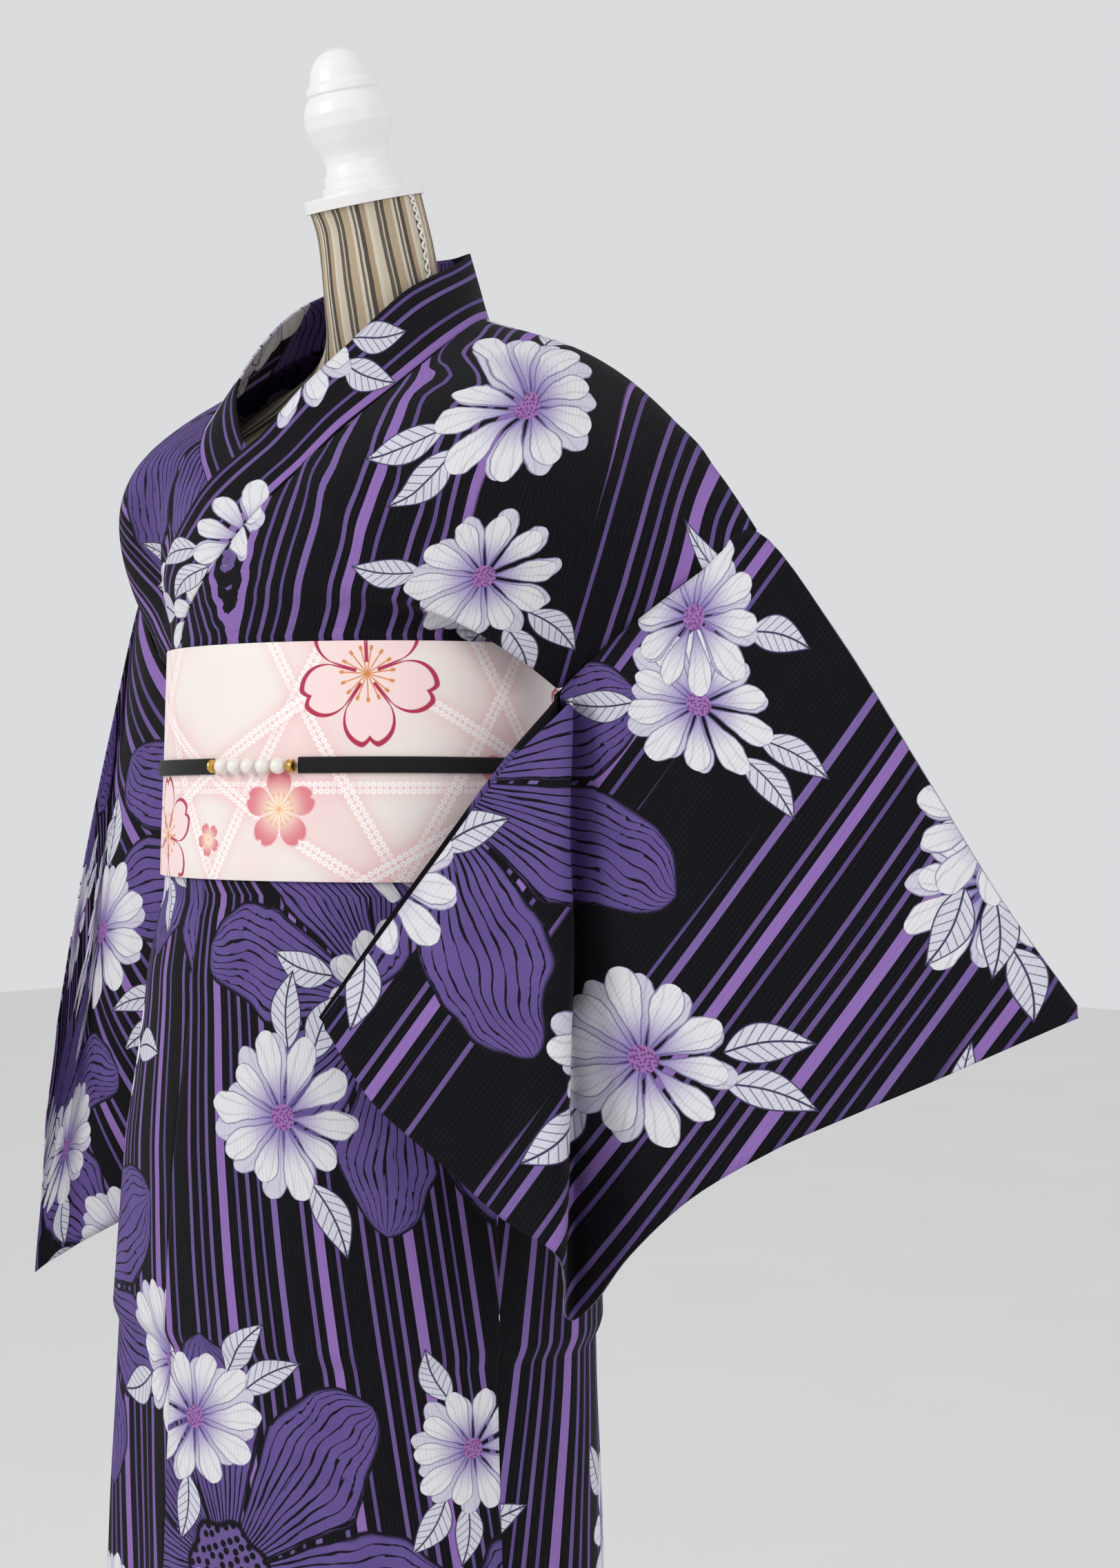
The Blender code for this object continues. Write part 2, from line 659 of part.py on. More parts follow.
def build_form(linen):
    """The padded torso: one closed skin through its rings, with the neck leaning forward."""
    count = 360 // STEP
    points, faces = [], []
    neck_plane = Vector((0, -math.sin(NECK_LEAN), math.cos(NECK_LEAN)))
    rings = [list(row) for row in FORM_RINGS]
    for z, half_width, half_depth, back in rings:
        for i in range(count):
            turn = math.radians(i * STEP)
            points.append(Vector((half_width * math.sin(turn), back - half_depth * math.cos(turn), z)))
    for i in range(count):
        turn = math.radians(i * STEP)
        rim = Matrix.Rotation(NECK_LEAN, 3, "X") @ Vector((math.sin(turn), -math.cos(turn), 0))
        points.append(NECK_TOP - neck_plane * 0.0004 + rim * 0.0405)
    levels = len(rings) + 1
    for k in range(levels - 1):
        for i in range(count):
            n = (i + 1) % count
            faces.append((k * count + i, k * count + n, (k + 1) * count + n, (k + 1) * count + i))
    faces.append(tuple(reversed(range(count))))
    faces.append(tuple(range((levels - 1) * count, levels * count)))
    mesh = bpy.data.meshes.new("form_torso")
    mesh.from_pydata([tuple(p) for p in points], [], faces)
    mesh.update()
    obj = bpy.data.objects.new("form_torso", mesh)
    parts.objects.link(obj)
    mesh.materials.append(linen)
    mesh.shade_smooth()


def build_stand(wood):
    finial = add_turned("finial", FINIAL, wood)
    finial.location = NECK_TOP
    finial.rotation_euler = (NECK_LEAN, 0, 0)
    pole_top = FORM_RINGS[0][0] - 0.0003
    pole = [(BASE_HEIGHT + 0.0003, POLE_RADIUS), (pole_top, POLE_RADIUS)]
    add_turned("pole", pole, wood, sides=24)
    base = [
        (0.0, BASE_RADIUS - 0.004),
        (0.004, BASE_RADIUS),
        (0.014, BASE_RADIUS),
        (0.022, BASE_RADIUS * 0.80),
        (BASE_HEIGHT, BASE_RADIUS * 0.30),
    ]
    add_turned("stand_base", base, wood, sides=40)


clear_scene()
parts = bpy.data.collections.new("yukata_on_form")
bpy.context.scene.collection.children.link(parts)

cotton_look = make_material("cotton", (0.05, 0.04, 0.07), 0.85)
satin_look = make_material("obi_satin", (0.88, 0.76, 0.76), 0.5)
velvet_look = make_material("velvet", (0.01, 0.01, 0.012), 0.9)
pearl_look = make_material("pearl", (0.90, 0.88, 0.84), 0.2)
gold_look = make_material("gold", (0.85, 0.62, 0.25), 0.3, 1.0)
linen_look = make_material("linen", (0.62, 0.56, 0.48), 0.9)
wood_look = make_material("white_wood", (0.86, 0.85, 0.84), 0.4)

build_form(linen_look)
build_stand(wood_look)
build_body(1, 4, cotton_look)
build_body(-1, 3, cotton_look)
build_collar(cotton_look)
build_sleeve("sleeve_left", LEFT_SLEEVE, LEFT_ARMPIT, -1, LEFT_WRIST_FROM, cotton_look)
build_sleeve("sleeve_right", RIGHT_SLEEVE, RIGHT_ARMPIT, 1, None, cotton_look)
build_obi(satin_look, velvet_look, pearl_look, gold_look)
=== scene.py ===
"""Looks for the cotton yukata on its dress form: fine cloth, print, belt, form and stand."""

import math
from functools import partialmethod

import bpy
import numpy as np
from mathutils import Matrix, Vector


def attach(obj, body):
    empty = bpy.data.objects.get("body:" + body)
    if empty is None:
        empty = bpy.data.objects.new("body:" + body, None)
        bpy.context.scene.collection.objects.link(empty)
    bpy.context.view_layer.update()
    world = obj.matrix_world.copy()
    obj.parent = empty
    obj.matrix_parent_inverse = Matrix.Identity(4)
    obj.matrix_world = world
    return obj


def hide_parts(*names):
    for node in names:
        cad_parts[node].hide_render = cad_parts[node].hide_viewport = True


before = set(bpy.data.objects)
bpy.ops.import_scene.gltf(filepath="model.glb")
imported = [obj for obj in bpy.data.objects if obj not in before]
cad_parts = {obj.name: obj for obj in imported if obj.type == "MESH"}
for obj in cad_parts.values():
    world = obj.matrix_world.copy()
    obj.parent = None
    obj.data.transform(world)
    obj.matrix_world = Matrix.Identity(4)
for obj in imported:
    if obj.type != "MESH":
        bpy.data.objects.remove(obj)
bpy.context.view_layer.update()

# Sizes and tables of the robe, the same as the solids'. Metres, and degrees from the front.

CLOTH = 0.0007
OBI_CLOTH = 0.0020
SEWN_EDGE = 0.0010  # and this far short of a seam where the cloth turns

# How far the middle of each layer stands off the body ring.
UNDER_LAYER = 0.0012
OVER_LAYER = 0.0040
OBI_LAYER = 0.0067

HEM_Z = 0.10
OBI_BOTTOM = 0.985
OBI_TOP = 1.145
TUCK_Z = 0.680  # the crease of the folded-over waist

# Angles of the seams below the obi.
SIDE_SEAM = 72
OKUMI_SEAM = -9
OKUMI_EDGE = -54
COLLAR_AT_OBI = -27
COLLAR_EDGE_AT_OBI = -48

# height, half width, half depth of the robe below the bust
BODY_RINGS = [
    (0.100, 0.203, 0.166),
    (0.300, 0.199, 0.161),
    (0.490, 0.193, 0.155),
    (0.640, 0.186, 0.149),
    (0.800, 0.178, 0.142),
    (0.920, 0.165, 0.132),
    (0.975, 0.152, 0.122),
    (1.155, 0.146, 0.117),
]

# height, half width, half depth, how far back the middle lies: the padded form inside
FORM_RINGS = [
    (0.620, 0.130, 0.104, 0.004),
    (0.640, 0.150, 0.120, 0.004),
    (0.760, 0.163, 0.129, 0.004),
    (0.880, 0.160, 0.126, 0.002),
    (0.975, 0.1515, 0.1215, 0.000),
    (1.155, 0.1455, 0.1165, 0.000),
    (1.200, 0.149, 0.105, 0.004),
    (1.250, 0.160, 0.096, 0.016),
    (1.290, 0.176, 0.080, 0.030),
    (1.314, 0.181, 0.060, 0.040),
    (1.332, 0.150, 0.050, 0.043),
    (1.349, 0.090, 0.047, 0.040),
    (1.368, 0.053, 0.046, 0.033),
    (1.400, 0.0435, 0.0435, 0.0235),
    (1.440, 0.0415, 0.0415, 0.0150),
]

# The sleeve is sewn on from the armpit up to the end of the shoulder.
ARMPIT = Vector((0.188, 0.000, 1.114))
SHOULDER_END = Vector((0.312, 0.056, 1.215))
ARMHOLE_HALF_GAP = 0.012
LAYERS_APART = 0.0008  # half the distance between the two layers of a sleeve where they are sewn

# The collar on the wearer's left, from inside the obi up and round to the nape.
# name, point on the seam with the body, point on the free edge
COLLAR = [
    ("low_chest", (-0.036, -0.121, 1.183), (-0.092, -0.104, 1.200)),
    ("chest", (0.000, -0.124, 1.213), (-0.056, -0.114, 1.237)),
    ("high_chest", (0.030, -0.118, 1.240), (-0.022, -0.117, 1.263)),
    ("crossing", (0.055, -0.105, 1.264), (0.012, -0.107, 1.287)),
    ("throat", (0.075, -0.090, 1.288), (0.037, -0.090, 1.320)),
    ("collarbone", (0.091, -0.058, 1.317), (0.051, -0.060, 1.352)),
    ("neck_front", (0.090, -0.010, 1.350), (0.057, -0.012, 1.394)),
    ("neck_side", (0.080, 0.035, 1.375), (0.052, 0.040, 1.420)),
    ("neck_back", (0.050, 0.080, 1.388), (0.034, 0.077, 1.438)),
    ("nape", (0.000, 0.106, 1.394), (0.000, 0.095, 1.442)),
]
COLLAR_COLUMNS = 3
COLLAR_IN_OBI_Z = 1.115
COLLAR_OUT_OF_OBI_Z = 1.156
COLLAR_LEAVES_BODY_Z = 1.23
RIGHT_COLLAR_DEEPER = 0.0070  # the wearer's right collar lies this far under the left one
# height, y: the seam down the middle of the back, from the obi up to the nape
BACK_SEAM = [
    (1.153, 0.1185),
    (1.160, 0.1280),
    (1.200, 0.1330),
    (1.250, 0.1335),
    (1.300, 0.1290),
    (1.350, 0.1190),
    (1.394, 0.1060),
]

# The side seam where the waist bags over the obi: name, angle, height, how far off the body ring
SIDE_ROWS = [
    ("obi_top", 72, 1.153, 0.0012),
    ("under_fold", 73, 1.158, 0.0080),
    ("fold", 78, 1.152, 0.0200),
    ("droop", 84, 1.134, 0.0330),
]
# How far the middle of the panels swells out, and rises, at the armpit, mid armhole and shoulder
FRONT_SWELL = [(0.004, 0.008), (0.012, 0.020), (0.000, 0.034)]
BACK_SWELL = [(0.002, 0.010), (0.008, 0.026), (0.000, 0.034)]

# The hanging sleeves, as stations along the cloth from the corner by the body to the wrist corner.
# name, upper end, lower end, half of the room inside the bag
LEFT_SLEEVE = [
    ("corner", (0.130, -0.160, 0.902), (0.133, -0.156, 0.893), 0.004),
    ("front_1", (0.145, -0.131, 0.946), (0.166, -0.149, 0.851), 0.007),
    ("front_2", (0.170, -0.096, 1.004), (0.208, -0.134, 0.817), 0.009),
    ("front_3", (0.193, -0.058, 1.062), (0.250, -0.120, 0.784), 0.009),
    ("ridge", (0.214, -0.024, 1.104), (0.286, -0.108, 0.762), 0.006),
    ("valley", (0.190, 0.000, 1.112), (0.246, -0.056, 0.712), 0.006),
    ("turn", (0.207, 0.008, 1.128), (0.263, -0.050, 0.722), 0.010),
    ("back_1", (0.236, 0.021, 1.151), (0.290, -0.046, 0.756), 0.014),
    ("back_2", (0.272, 0.038, 1.180), (0.328, -0.032, 0.794), 0.016),
    ("shoulder", (0.312, 0.056, 1.215), (0.370, -0.006, 0.824), 0.017),
    ("fall_1", (0.368, 0.066, 1.146), (0.412, 0.018, 0.847), 0.016),
    ("fall_2", (0.424, 0.078, 1.059), (0.451, 0.046, 0.868), 0.013),
    ("fall_3", (0.474, 0.090, 0.979), (0.487, 0.077, 0.889), 0.009),
    ("wrist", (0.519, 0.104, 0.915), (0.520, 0.103, 0.908), 0.003),
]
RIGHT_SLEEVE = [
    ("corner", (-0.222, 0.168, 0.872), (-0.222, 0.164, 0.862), 0.004),
    ("back_1", (-0.225, 0.124, 0.950), (-0.234, 0.128, 0.806), 0.008),
    ("back_2", (-0.222, 0.078, 1.036), (-0.247, 0.094, 0.762), 0.010),
    ("back_3", (-0.212, 0.032, 1.096), (-0.262, 0.066, 0.735), 0.009),
    ("armpit", (-0.190, 0.000, 1.112), (-0.275, 0.046, 0.722), 0.008),
    ("front_1", (-0.220, 0.014, 1.138), (-0.296, 0.032, 0.704), 0.013),
    ("front_2", (-0.262, 0.033, 1.172), (-0.318, 0.020, 0.690), 0.016),
    ("shoulder", (-0.312, 0.056, 1.215), (-0.338, 0.010, 0.678), 0.016),
    ("fall_1", (-0.323, 0.030, 1.096), (-0.352, 0.002, 0.668), 0.015),
    ("fall_2", (-0.330, 0.004, 0.970), (-0.364, -0.004, 0.660), 0.010),
    ("wrist", (-0.334, -0.016, 0.856), (-0.374, -0.008, 0.652), 0.003),
]
SLEEVE_ROWS = 7
# The station that hangs at the armpit, and the one where the lower edge opens as the wrist.
LEFT_ARMPIT, RIGHT_ARMPIT = "valley", "armpit"
LEFT_WRIST_FROM = "shoulder"
ARMHOLE_ROWS = 12

# The skirt's soft upright folds: angle, half width in degrees, depth, and top
SKIRT_FOLDS = [
    (-40, 10, 0.0050, 0.94),
    (-20, 8, -0.0040, 0.90),
    (8, 12, 0.0045, 0.60),
    (38, 12, -0.0045, 0.66),
    (96, 12, 0.0060, 0.80),
    (124, 12, -0.0060, 0.84),
    (152, 12, 0.0060, 0.80),
    (-96, 12, 0.0060, 0.84),
    (-126, 12, -0.0060, 0.80),
    (-154, 12, 0.0060, 0.84),
]
TUCK_OUT = 0.005  # the folded waist stands this far over the skirt below it

NECK_LEAN = math.radians(16.5)
NECK_TOP = Vector((0, 0.0050, 1.4668))
# height above the neck, radius: the turned finial, bottom to top
FINIAL = [
    (0.000, 0.0435),
    (0.009, 0.0435),
    (0.0092, 0.0290),
    (0.015, 0.0285),
    (0.0165, 0.0262),
    (0.022, 0.0258),
    (0.024, 0.0238),
    (0.030, 0.0226),
    (0.036, 0.0236),
    (0.046, 0.0285),
    (0.056, 0.0315),
    (0.066, 0.0314),
    (0.074, 0.0285),
    (0.0785, 0.0252),
    (0.080, 0.0264),
    (0.0845, 0.0256),
    (0.088, 0.0222),
    (0.095, 0.0206),
    (0.102, 0.0168),
    (0.107, 0.0108),
    (0.1095, 0.0040),
    (0.110, 0.0000),
]

CORD_Z = 1.062
CORD_WIDTH = 0.012
CORD_THICK = 0.004
PEARL_RADIUS = 0.0055
PEARL_COUNT = 5
PEARLS_AT = 10  # angle of the middle pearl
PEARLS_REACH = 14.5  # the cord starts this many degrees to each side of it
OBI_END = 189  # angle of the belt's outer end, over its start
OBI_LAP_OUT = 0.0026
BELT_START = OBI_END - 396  # angle of its inner end, a full turn and a lap before
BELT_STEP = 3


def smooth(value, low, high):
    """0 below low, 1 above high, and an even turn between them."""
    share = min(1.0, max(0.0, (value - low) / (high - low)))
    return share * share * (3 - 2 * share)


def curve_through(points, share):
    """The point at a share of the way along an even-stepped smooth curve through points."""
    last = len(points) - 1
    place = min(max(share, 0.0), 1.0) * last
    i = min(int(place), last - 1)
    t = place - i
    before = points[max(i - 1, 0)]
    start, end = points[i], points[i + 1]
    after = points[min(i + 2, last)]
    pull_in = (end - before) * 0.5
    pull_out = (after - start) * 0.5
    return (
        start * (2 * t**3 - 3 * t**2 + 1)
        + pull_in * (t**3 - 2 * t**2 + t)
        + end * (3 * t**2 - 2 * t**3)
        + pull_out * (t**3 - t**2)
    )


def ring_sizes(z, rings):
    """The sizes in a table of rings at a height, straight between two rows."""
    for low, high in zip(rings, rings[1:]):
        if z <= high[0]:
            t = max(0.0, (z - low[0]) / (high[0] - low[0]))
            return [a + (b - a) * t for a, b in zip(low[1:], high[1:])]
    return list(rings[-1][1:])


def fold_depth(angle, z):
    """How far the skirt's upright folds move its wall out at a place."""
    total = 0.0
    for middle, half_width, depth, top in SKIRT_FOLDS:
        away = (angle - middle + 180) % 360 - 180
        across = math.exp(-((away / half_width) ** 2))
        total += depth * across * smooth(top - z, 0.0, 0.35)
    return total


def on_ring(angle, z, out):
    """A point on the robe's lower ring, moved out."""
    half_width, half_depth = ring_sizes(z, BODY_RINGS)
    tuck = TUCK_OUT * smooth(z, TUCK_Z - 0.014, TUCK_Z) * (1 - smooth(z, 0.72, 0.92))
    out += fold_depth(angle, z) + tuck
    turn = math.radians(angle)
    return Vector(((half_width + out) * math.sin(turn), -(half_depth + out) * math.cos(turn), z))


# Rows round the body


def angles_between(start, end, columns):
    return [start + (end - start) * i / columns for i in range(columns + 1)]


def layer_out(angle, over):
    """The over layer sinks to the under layer's place where it reaches the side seam."""
    if not over:
        return UNDER_LAYER
    return OVER_LAYER + (UNDER_LAYER - OVER_LAYER) * smooth(angle, 56, SIDE_SEAM)


def collar_seam_angle(z):
    """The front seam leaves the overlap panel and runs to the collar inside the obi."""
    return OKUMI_SEAM + (COLLAR_AT_OBI - OKUMI_SEAM) * smooth(z, OBI_BOTTOM, OBI_TOP)


# Body panels above the obi


def off_ring(point):
    """(angle in degrees, distance off the body ring, height) of a point."""
    half_width, half_depth = ring_sizes(point.z, BODY_RINGS)
    out = 0.0
    for _ in range(20):
        turn = math.atan2(point.x / (half_width + out), -point.y / (half_depth + out))
        across, deep = (half_width + out) * math.sin(turn), (half_depth + out) * math.cos(turn)
        out += math.hypot(point.x, point.y) - math.hypot(across, deep)
    angle = math.degrees(turn)
    return Vector((angle + 360 if angle < -150 else angle, out, point.z))


def row_between(inner, outer, columns, bulge=0.0, rise=0.0, late=1.0):
    """Points from inner to outer round the body, the middle of the row pushed out and up.

    late is the power by which the distance off the body and the fall wait for the row's outer end.
    """
    start, end = off_ring(inner), off_ring(outer)
    points = [inner]
    for i in range(1, columns):
        swell = math.sin(math.pi * i / columns)
        share = (i / columns) ** late
        angle = start.x + (end.x - start.x) * i / columns
        z = start.z + (end.z - start.z) * share
        half_width, half_depth = ring_sizes(z, BODY_RINGS)
        out = start.y + (end.y - start.y) * share + bulge * swell
        turn = math.radians(angle)
        across = (half_width + out) * math.sin(turn)
        points.append(Vector((across, -(half_depth + out) * math.cos(turn), z + rise * swell)))
    return points + [outer]


def armhole_point(share, side):
    """On the armhole's seam: share 0 at the armpit, 1 at the shoulder. side -1 front, 1 back."""
    away = Vector((-0.40, 0.92, 0)).normalized() * side
    half = LAYERS_APART + ARMHOLE_HALF_GAP * math.sin(math.pi * share)
    return ARMPIT.lerp(SHOULDER_END, share) + away * half


def armhole_edge(share, side, spans):
    """The armhole's seam as the sleeve has it, straight between its stations."""
    low = min(int(share * spans + 0.0001), spans - 1)
    start, end = armhole_point(low / spans, side), armhole_point((low + 1) / spans, side)
    return start.lerp(end, share * spans - low)


def outer_edge(side, spans):
    """The side seam's points above the obi, then the armhole's up to the shoulder."""
    points = [on_ring(angle, z, out) for _, angle, z, out in SIDE_ROWS]
    points += [armhole_edge(k / ARMHOLE_ROWS, side, spans) for k in range(ARMHOLE_ROWS)]
    return points + [SHOULDER_END]


def collar_stations(side):
    """(seam edge, free edge) from inside the obi to the nape. side -1 is the wearer's right."""
    stations = []
    for z in (COLLAR_IN_OBI_Z, COLLAR_OUT_OF_OBI_Z):
        out = OVER_LAYER if side > 0 else UNDER_LAYER
        stations.append([on_ring(a, z, out) for a in (COLLAR_AT_OBI, COLLAR_EDGE_AT_OBI)])
    for k, (_, seam, free) in enumerate(COLLAR):
        deeper = RIGHT_COLLAR_DEEPER * (1 - smooth(k, 2.6, 5.4)) if side < 0 else 0.0
        pair = []
        for point in (seam, free):
            point = Vector(point)
            flat = Vector((point.x, point.y, 0))
            pair.append(point - flat.normalized() * deeper)
        stations.append(pair)
    return [[Vector((p.x * side, p.y, p.z)) for p in pair] for pair in stations]


def collar_sections():
    """Sections all the way round, two for each station, seam edge first."""
    stations = collar_stations(1) + collar_stations(-1)[-2::-1]
    seam = [pair[0] for pair in stations]
    free = [pair[1] for pair in stations]
    last = 2 * (len(stations) - 1)
    return [(curve_through(seam, i / last), curve_through(free, i / last)) for i in range(last + 1)]


def collar_half(side):
    sections = collar_sections()
    middle = len(sections) // 2
    return sections[: middle + 1] if side > 0 else sections[middle:][::-1]


def across(before, here, after):
    """Level direction to the right of a path where it passes a point."""
    along = (here - before).normalized() + (after - here).normalized()
    return along.cross(Vector((0, 0, 1))).normalized()


def sleeve_layers(table, armpit, first_side):
    """The points down both layers of each station. first_side: the first layer's armhole side."""
    names = [row[0] for row in table]
    start, end = names.index(armpit), names.index("shoulder")
    mirror = 1 if table[0][1][0] > 0 else -1
    tops = [Vector(row[1]) for row in table]
    lows = [Vector(row[2]) for row in table]
    stations = []
    for i, (top, low) in enumerate(zip(tops, lows)):
        room = table[i][3]
        a, b = max(i - 1, 0), min(i + 1, len(table) - 1)
        top_way, low_way = across(tops[a], top, tops[b]), across(lows[a], low, lows[b])
        apart = room if i < start else LAYERS_APART * (2.2 if i == start else 1.0)
        edges = [top + top_way * apart, top - top_way * apart]
        if start < i <= end:
            share = (i - start) / (end - start)
            edges = [armhole_point(share, first_side), armhole_point(share, -first_side)]
            edges = [Vector((p.x * mirror, p.y, p.z)) for p in edges]
        if start <= i <= end:
            edges = [p + (low - p).normalized() * SEWN_EDGE for p in edges]
        layers = []
        for sign, edge in zip((1, -1), edges):
            bottom = low + low_way * sign * LAYERS_APART
            layer = []
            for j in range(SLEEVE_ROWS + 1):
                t = j / SLEEVE_ROWS
                belly = room * math.sin(math.pi * t) if i >= start else room * (t - t**3)
                layer.append(edge.lerp(bottom, t) + top_way.lerp(low_way, t) * sign * belly)
            layers.append(layer)
        stations.append(layers)
    return stations, names


def belt_out(angle):
    """Extra distance where the belt's end lies over its start, at the back."""
    return OBI_LAP_OUT * smooth(angle, OBI_END - 55, OBI_END - 37)


# Fine grids

COLUMNS_BY = 4  # how many fine steps to each of the table's
ROWS_BY = 4
CAMERA_TURN = math.radians(41.5)
SIDEWAYS = (math.cos(CAMERA_TURN), math.sin(CAMERA_TURN))
CHEST_GRAIN = math.radians(74)  # the chest's grain above level, seen from the camera's side
SKIRT_SLANT = 0.16  # how far the skirt's grain leans for its height
EVENING_ROUNDS = 6  # how often the chest's flat places are evened out
BODY_SWELL = 0.0007  # depth of the soft swells of the body panels
RIGHT_PRINT_SHIFT = (0.563, 0.247)  # where the right body panel is cut from the printed cloth
COLLAR_CLOTH = 0.0016
SLEEVE_FLAT = (0.36, 0.46)  # a sleeve layer's flat width and length
SLEEVE_BY = 6  # fine steps to each of a sleeve table's


def spline_matrix(count, by):
    """Weights that turn count points into a smooth line with by steps between two."""
    last = count - 1
    weights = np.zeros((last * by + 1, count))
    for n in range(last * by + 1):
        i = min(n // by, last - 1)
        t = n / by - i
        bases = (2 * t**3 - 3 * t**2 + 1, t**3 - 2 * t**2 + t, 3 * t**2 - 2 * t**3, t**3 - t**2)
        weights[n, i] += bases[0]
        weights[n, i + 1] += bases[2]
        for at, pull in ((i, bases[1]), (i + 1, bases[3])):
            weights[n, min(at + 1, last)] += pull * 0.5
            weights[n, max(at - 1, 0)] -= pull * 0.5
    return weights


def refined(rows, rows_by=ROWS_BY, columns_by=COLUMNS_BY):
    grid = np.array([[tuple(p) for p in row] for row in rows])
    down = spline_matrix(grid.shape[0], rows_by)
    along = spline_matrix(grid.shape[1], columns_by)
    return np.einsum("ri,ijk,cj->rck", down, grid, along)


def lengths_along(points):
    steps = np.linalg.norm(np.diff(points, axis=0), axis=1)
    return np.concatenate([[0.0], np.cumsum(steps)])


def cloth_places(grid, width, start_row=0, reach=(0.0, 1.0)):
    """Where each point of a panel lies on its flat cloth: across, and along from start_row."""
    middle = grid[:, grid.shape[1] // 2]
    along = lengths_along(middle)
    along -= along[start_row]
    across_cloth = width * np.linspace(reach[0], reach[1], grid.shape[1])
    places = np.zeros(grid.shape[:2] + (2,))
    places[..., 0] = across_cloth[None, :]
    places[..., 1] = along[:, None]
    return places


def evened(places, points, rounds):
    """Flat places moved a little so that neighbours lie as far apart as they do on the body."""
    rows, columns = places.shape[:2]
    for _ in range(rounds):
        move, count = np.zeros_like(places), np.zeros((rows, columns, 1))
        for down, side in ((0, 1), (1, 0), (1, 1), (1, -1)):
            here = (slice(0, rows - down), slice(max(0, -side), columns - max(0, side)))
            there = (slice(down, rows), slice(max(0, side), columns + min(0, side)))
            apart = places[there] - places[here]
            length = np.maximum(np.linalg.norm(apart, axis=2, keepdims=True), 1e-6)
            wanted = np.linalg.norm(points[there] - points[here], axis=2, keepdims=True)
            share = apart * (1 - wanted / length) * 0.5
            move[here] += share
            move[there] -= share
            count[here] += 1
            count[there] += 1
        places = places + move / count
    return places


def body_places(points, shoulder):
    """A body panel's flat cloth. Its grain falls steeply from the shoulder over the chest."""
    skirt = np.mean(np.linalg.norm(np.diff(points[:6], axis=1), axis=2).sum(axis=1))
    places = cloth_places(points, skirt, shoulder)
    places[..., 0] -= SKIRT_SLANT * np.clip(0.95 - points[..., 2], 0, 1)
    steps = np.linalg.norm(np.diff(points[..., 1:], axis=0), axis=2)
    fall = np.concatenate([np.zeros((1, points.shape[1])), np.cumsum(steps, axis=0)])
    fall -= fall[shoulder]
    sideways = abs(points[..., 0]) * SIDEWAYS[0] + points[..., 1] * SIDEWAYS[1]
    sine, cosine = math.sin(CHEST_GRAIN), math.cos(CHEST_GRAIN)
    height = points[..., 2]
    turned_to = (sideways * sine - height * cosine, sideways * cosine + height * sine)
    chest = np.stack(turned_to, axis=2)
    ridge = np.repeat(chest[shoulder : shoulder + 1, :, 0], len(points), axis=0)
    over = np.stack([ridge, fall], axis=2)
    chest[..., 1] -= chest[shoulder, points.shape[1] // 2, 1]
    front = np.stack([np.clip(-fall / 0.02, 0, 1), np.clip(-fall / 0.10, 0, 1)], axis=2)
    upper = evened(over + (chest - over) * front, points, EVENING_ROUNDS)
    above = np.clip((points[..., 2] - 1.02) / 0.06, 0, 1)[..., None]
    return places + (upper - places) * above


def normals_of(grid):
    down = np.gradient(grid, axis=0)
    along = np.gradient(grid, axis=1)
    normal = np.cross(along, down)
    return normal / np.maximum(np.linalg.norm(normal, axis=2, keepdims=True), 1e-9)


def soft_waves(grid, size, depth, seed):
    """Slow uneven swells of the cloth, the same for every layer that passes a place."""
    rng = np.random.default_rng(seed)
    total = np.zeros(grid.shape[:2])
    for _ in range(7):
        way = rng.normal(size=3)
        way /= np.linalg.norm(way)
        pitch = size * rng.uniform(0.6, 1.7)
        total += np.sin(grid @ way * 2 * math.pi / pitch + rng.uniform(0, 6.28)) / 3
    return total * depth


def linked(name, data):
    """A new object, in the scene."""
    obj = bpy.data.objects.new(name, data)
    bpy.context.scene.collection.objects.link(obj)
    return obj


def add_grid(name, grids, places, thickness, material, nodes, joins=()):
    """One mesh from point grids, with strips of faces that join their edges."""
    points, spots, faces = [], [], []
    starts = []
    for grid, place in zip(grids, places):
        starts.append(len(points))
        points.extend(map(tuple, grid.reshape(-1, 3)))
        spots.extend(map(tuple, place.reshape(-1, 2)))
        wide = grid.shape[1]
        for i in range(grid.shape[0] - 1):
            for j in range(wide - 1):
                a = starts[-1] + i * wide + j
                faces.append((a, a + 1, a + wide + 1, a + wide))
    for strip in joins:
        for (a, b), (c, d) in zip(strip, strip[1:]):
            faces.append((a, b, d, c))
    mesh = bpy.data.meshes.new(name)
    mesh.from_pydata(points, [], faces)
    mesh.update()
    layer = mesh.uv_layers.new(name="cloth")
    corners = np.zeros(len(mesh.loops), dtype=np.int32)
    mesh.loops.foreach_get("vertex_index", corners)
    layer.data.foreach_set("uv", np.array(spots)[corners].ravel())
    obj = linked(name, mesh)
    mesh.materials.append(material)
    wall = obj.modifiers.new("Wall", "SOLIDIFY")
    wall.thickness = thickness
    wall.offset = 0.0
    mesh.shade_smooth()
    take_place(obj, nodes)
    return obj


def take_place(obj, nodes):
    nodes = [nodes] if isinstance(nodes, str) else list(nodes)
    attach(obj, "root")
    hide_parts(*nodes)


# Robe

FOLD_LINES = [
    # side, angle and height of the middle, angle and height reached, half width, depth
    (1, 40, 1.235, 22, 0.060, 0.016, 0.0040),
    (1, 62, 1.215, 20, 0.075, 0.014, -0.0045),
    (1, 78, 1.195, 14, 0.060, 0.012, 0.0050),
    (-1, -60, 1.210, 20, 0.070, 0.014, 0.0045),
    (-1, -82, 1.190, 16, 0.060, 0.012, -0.0045),
    (1, 120, 1.220, 18, 0.070, 0.016, 0.0040),
    (-1, -120, 1.220, 18, 0.070, 0.016, 0.0040),
]


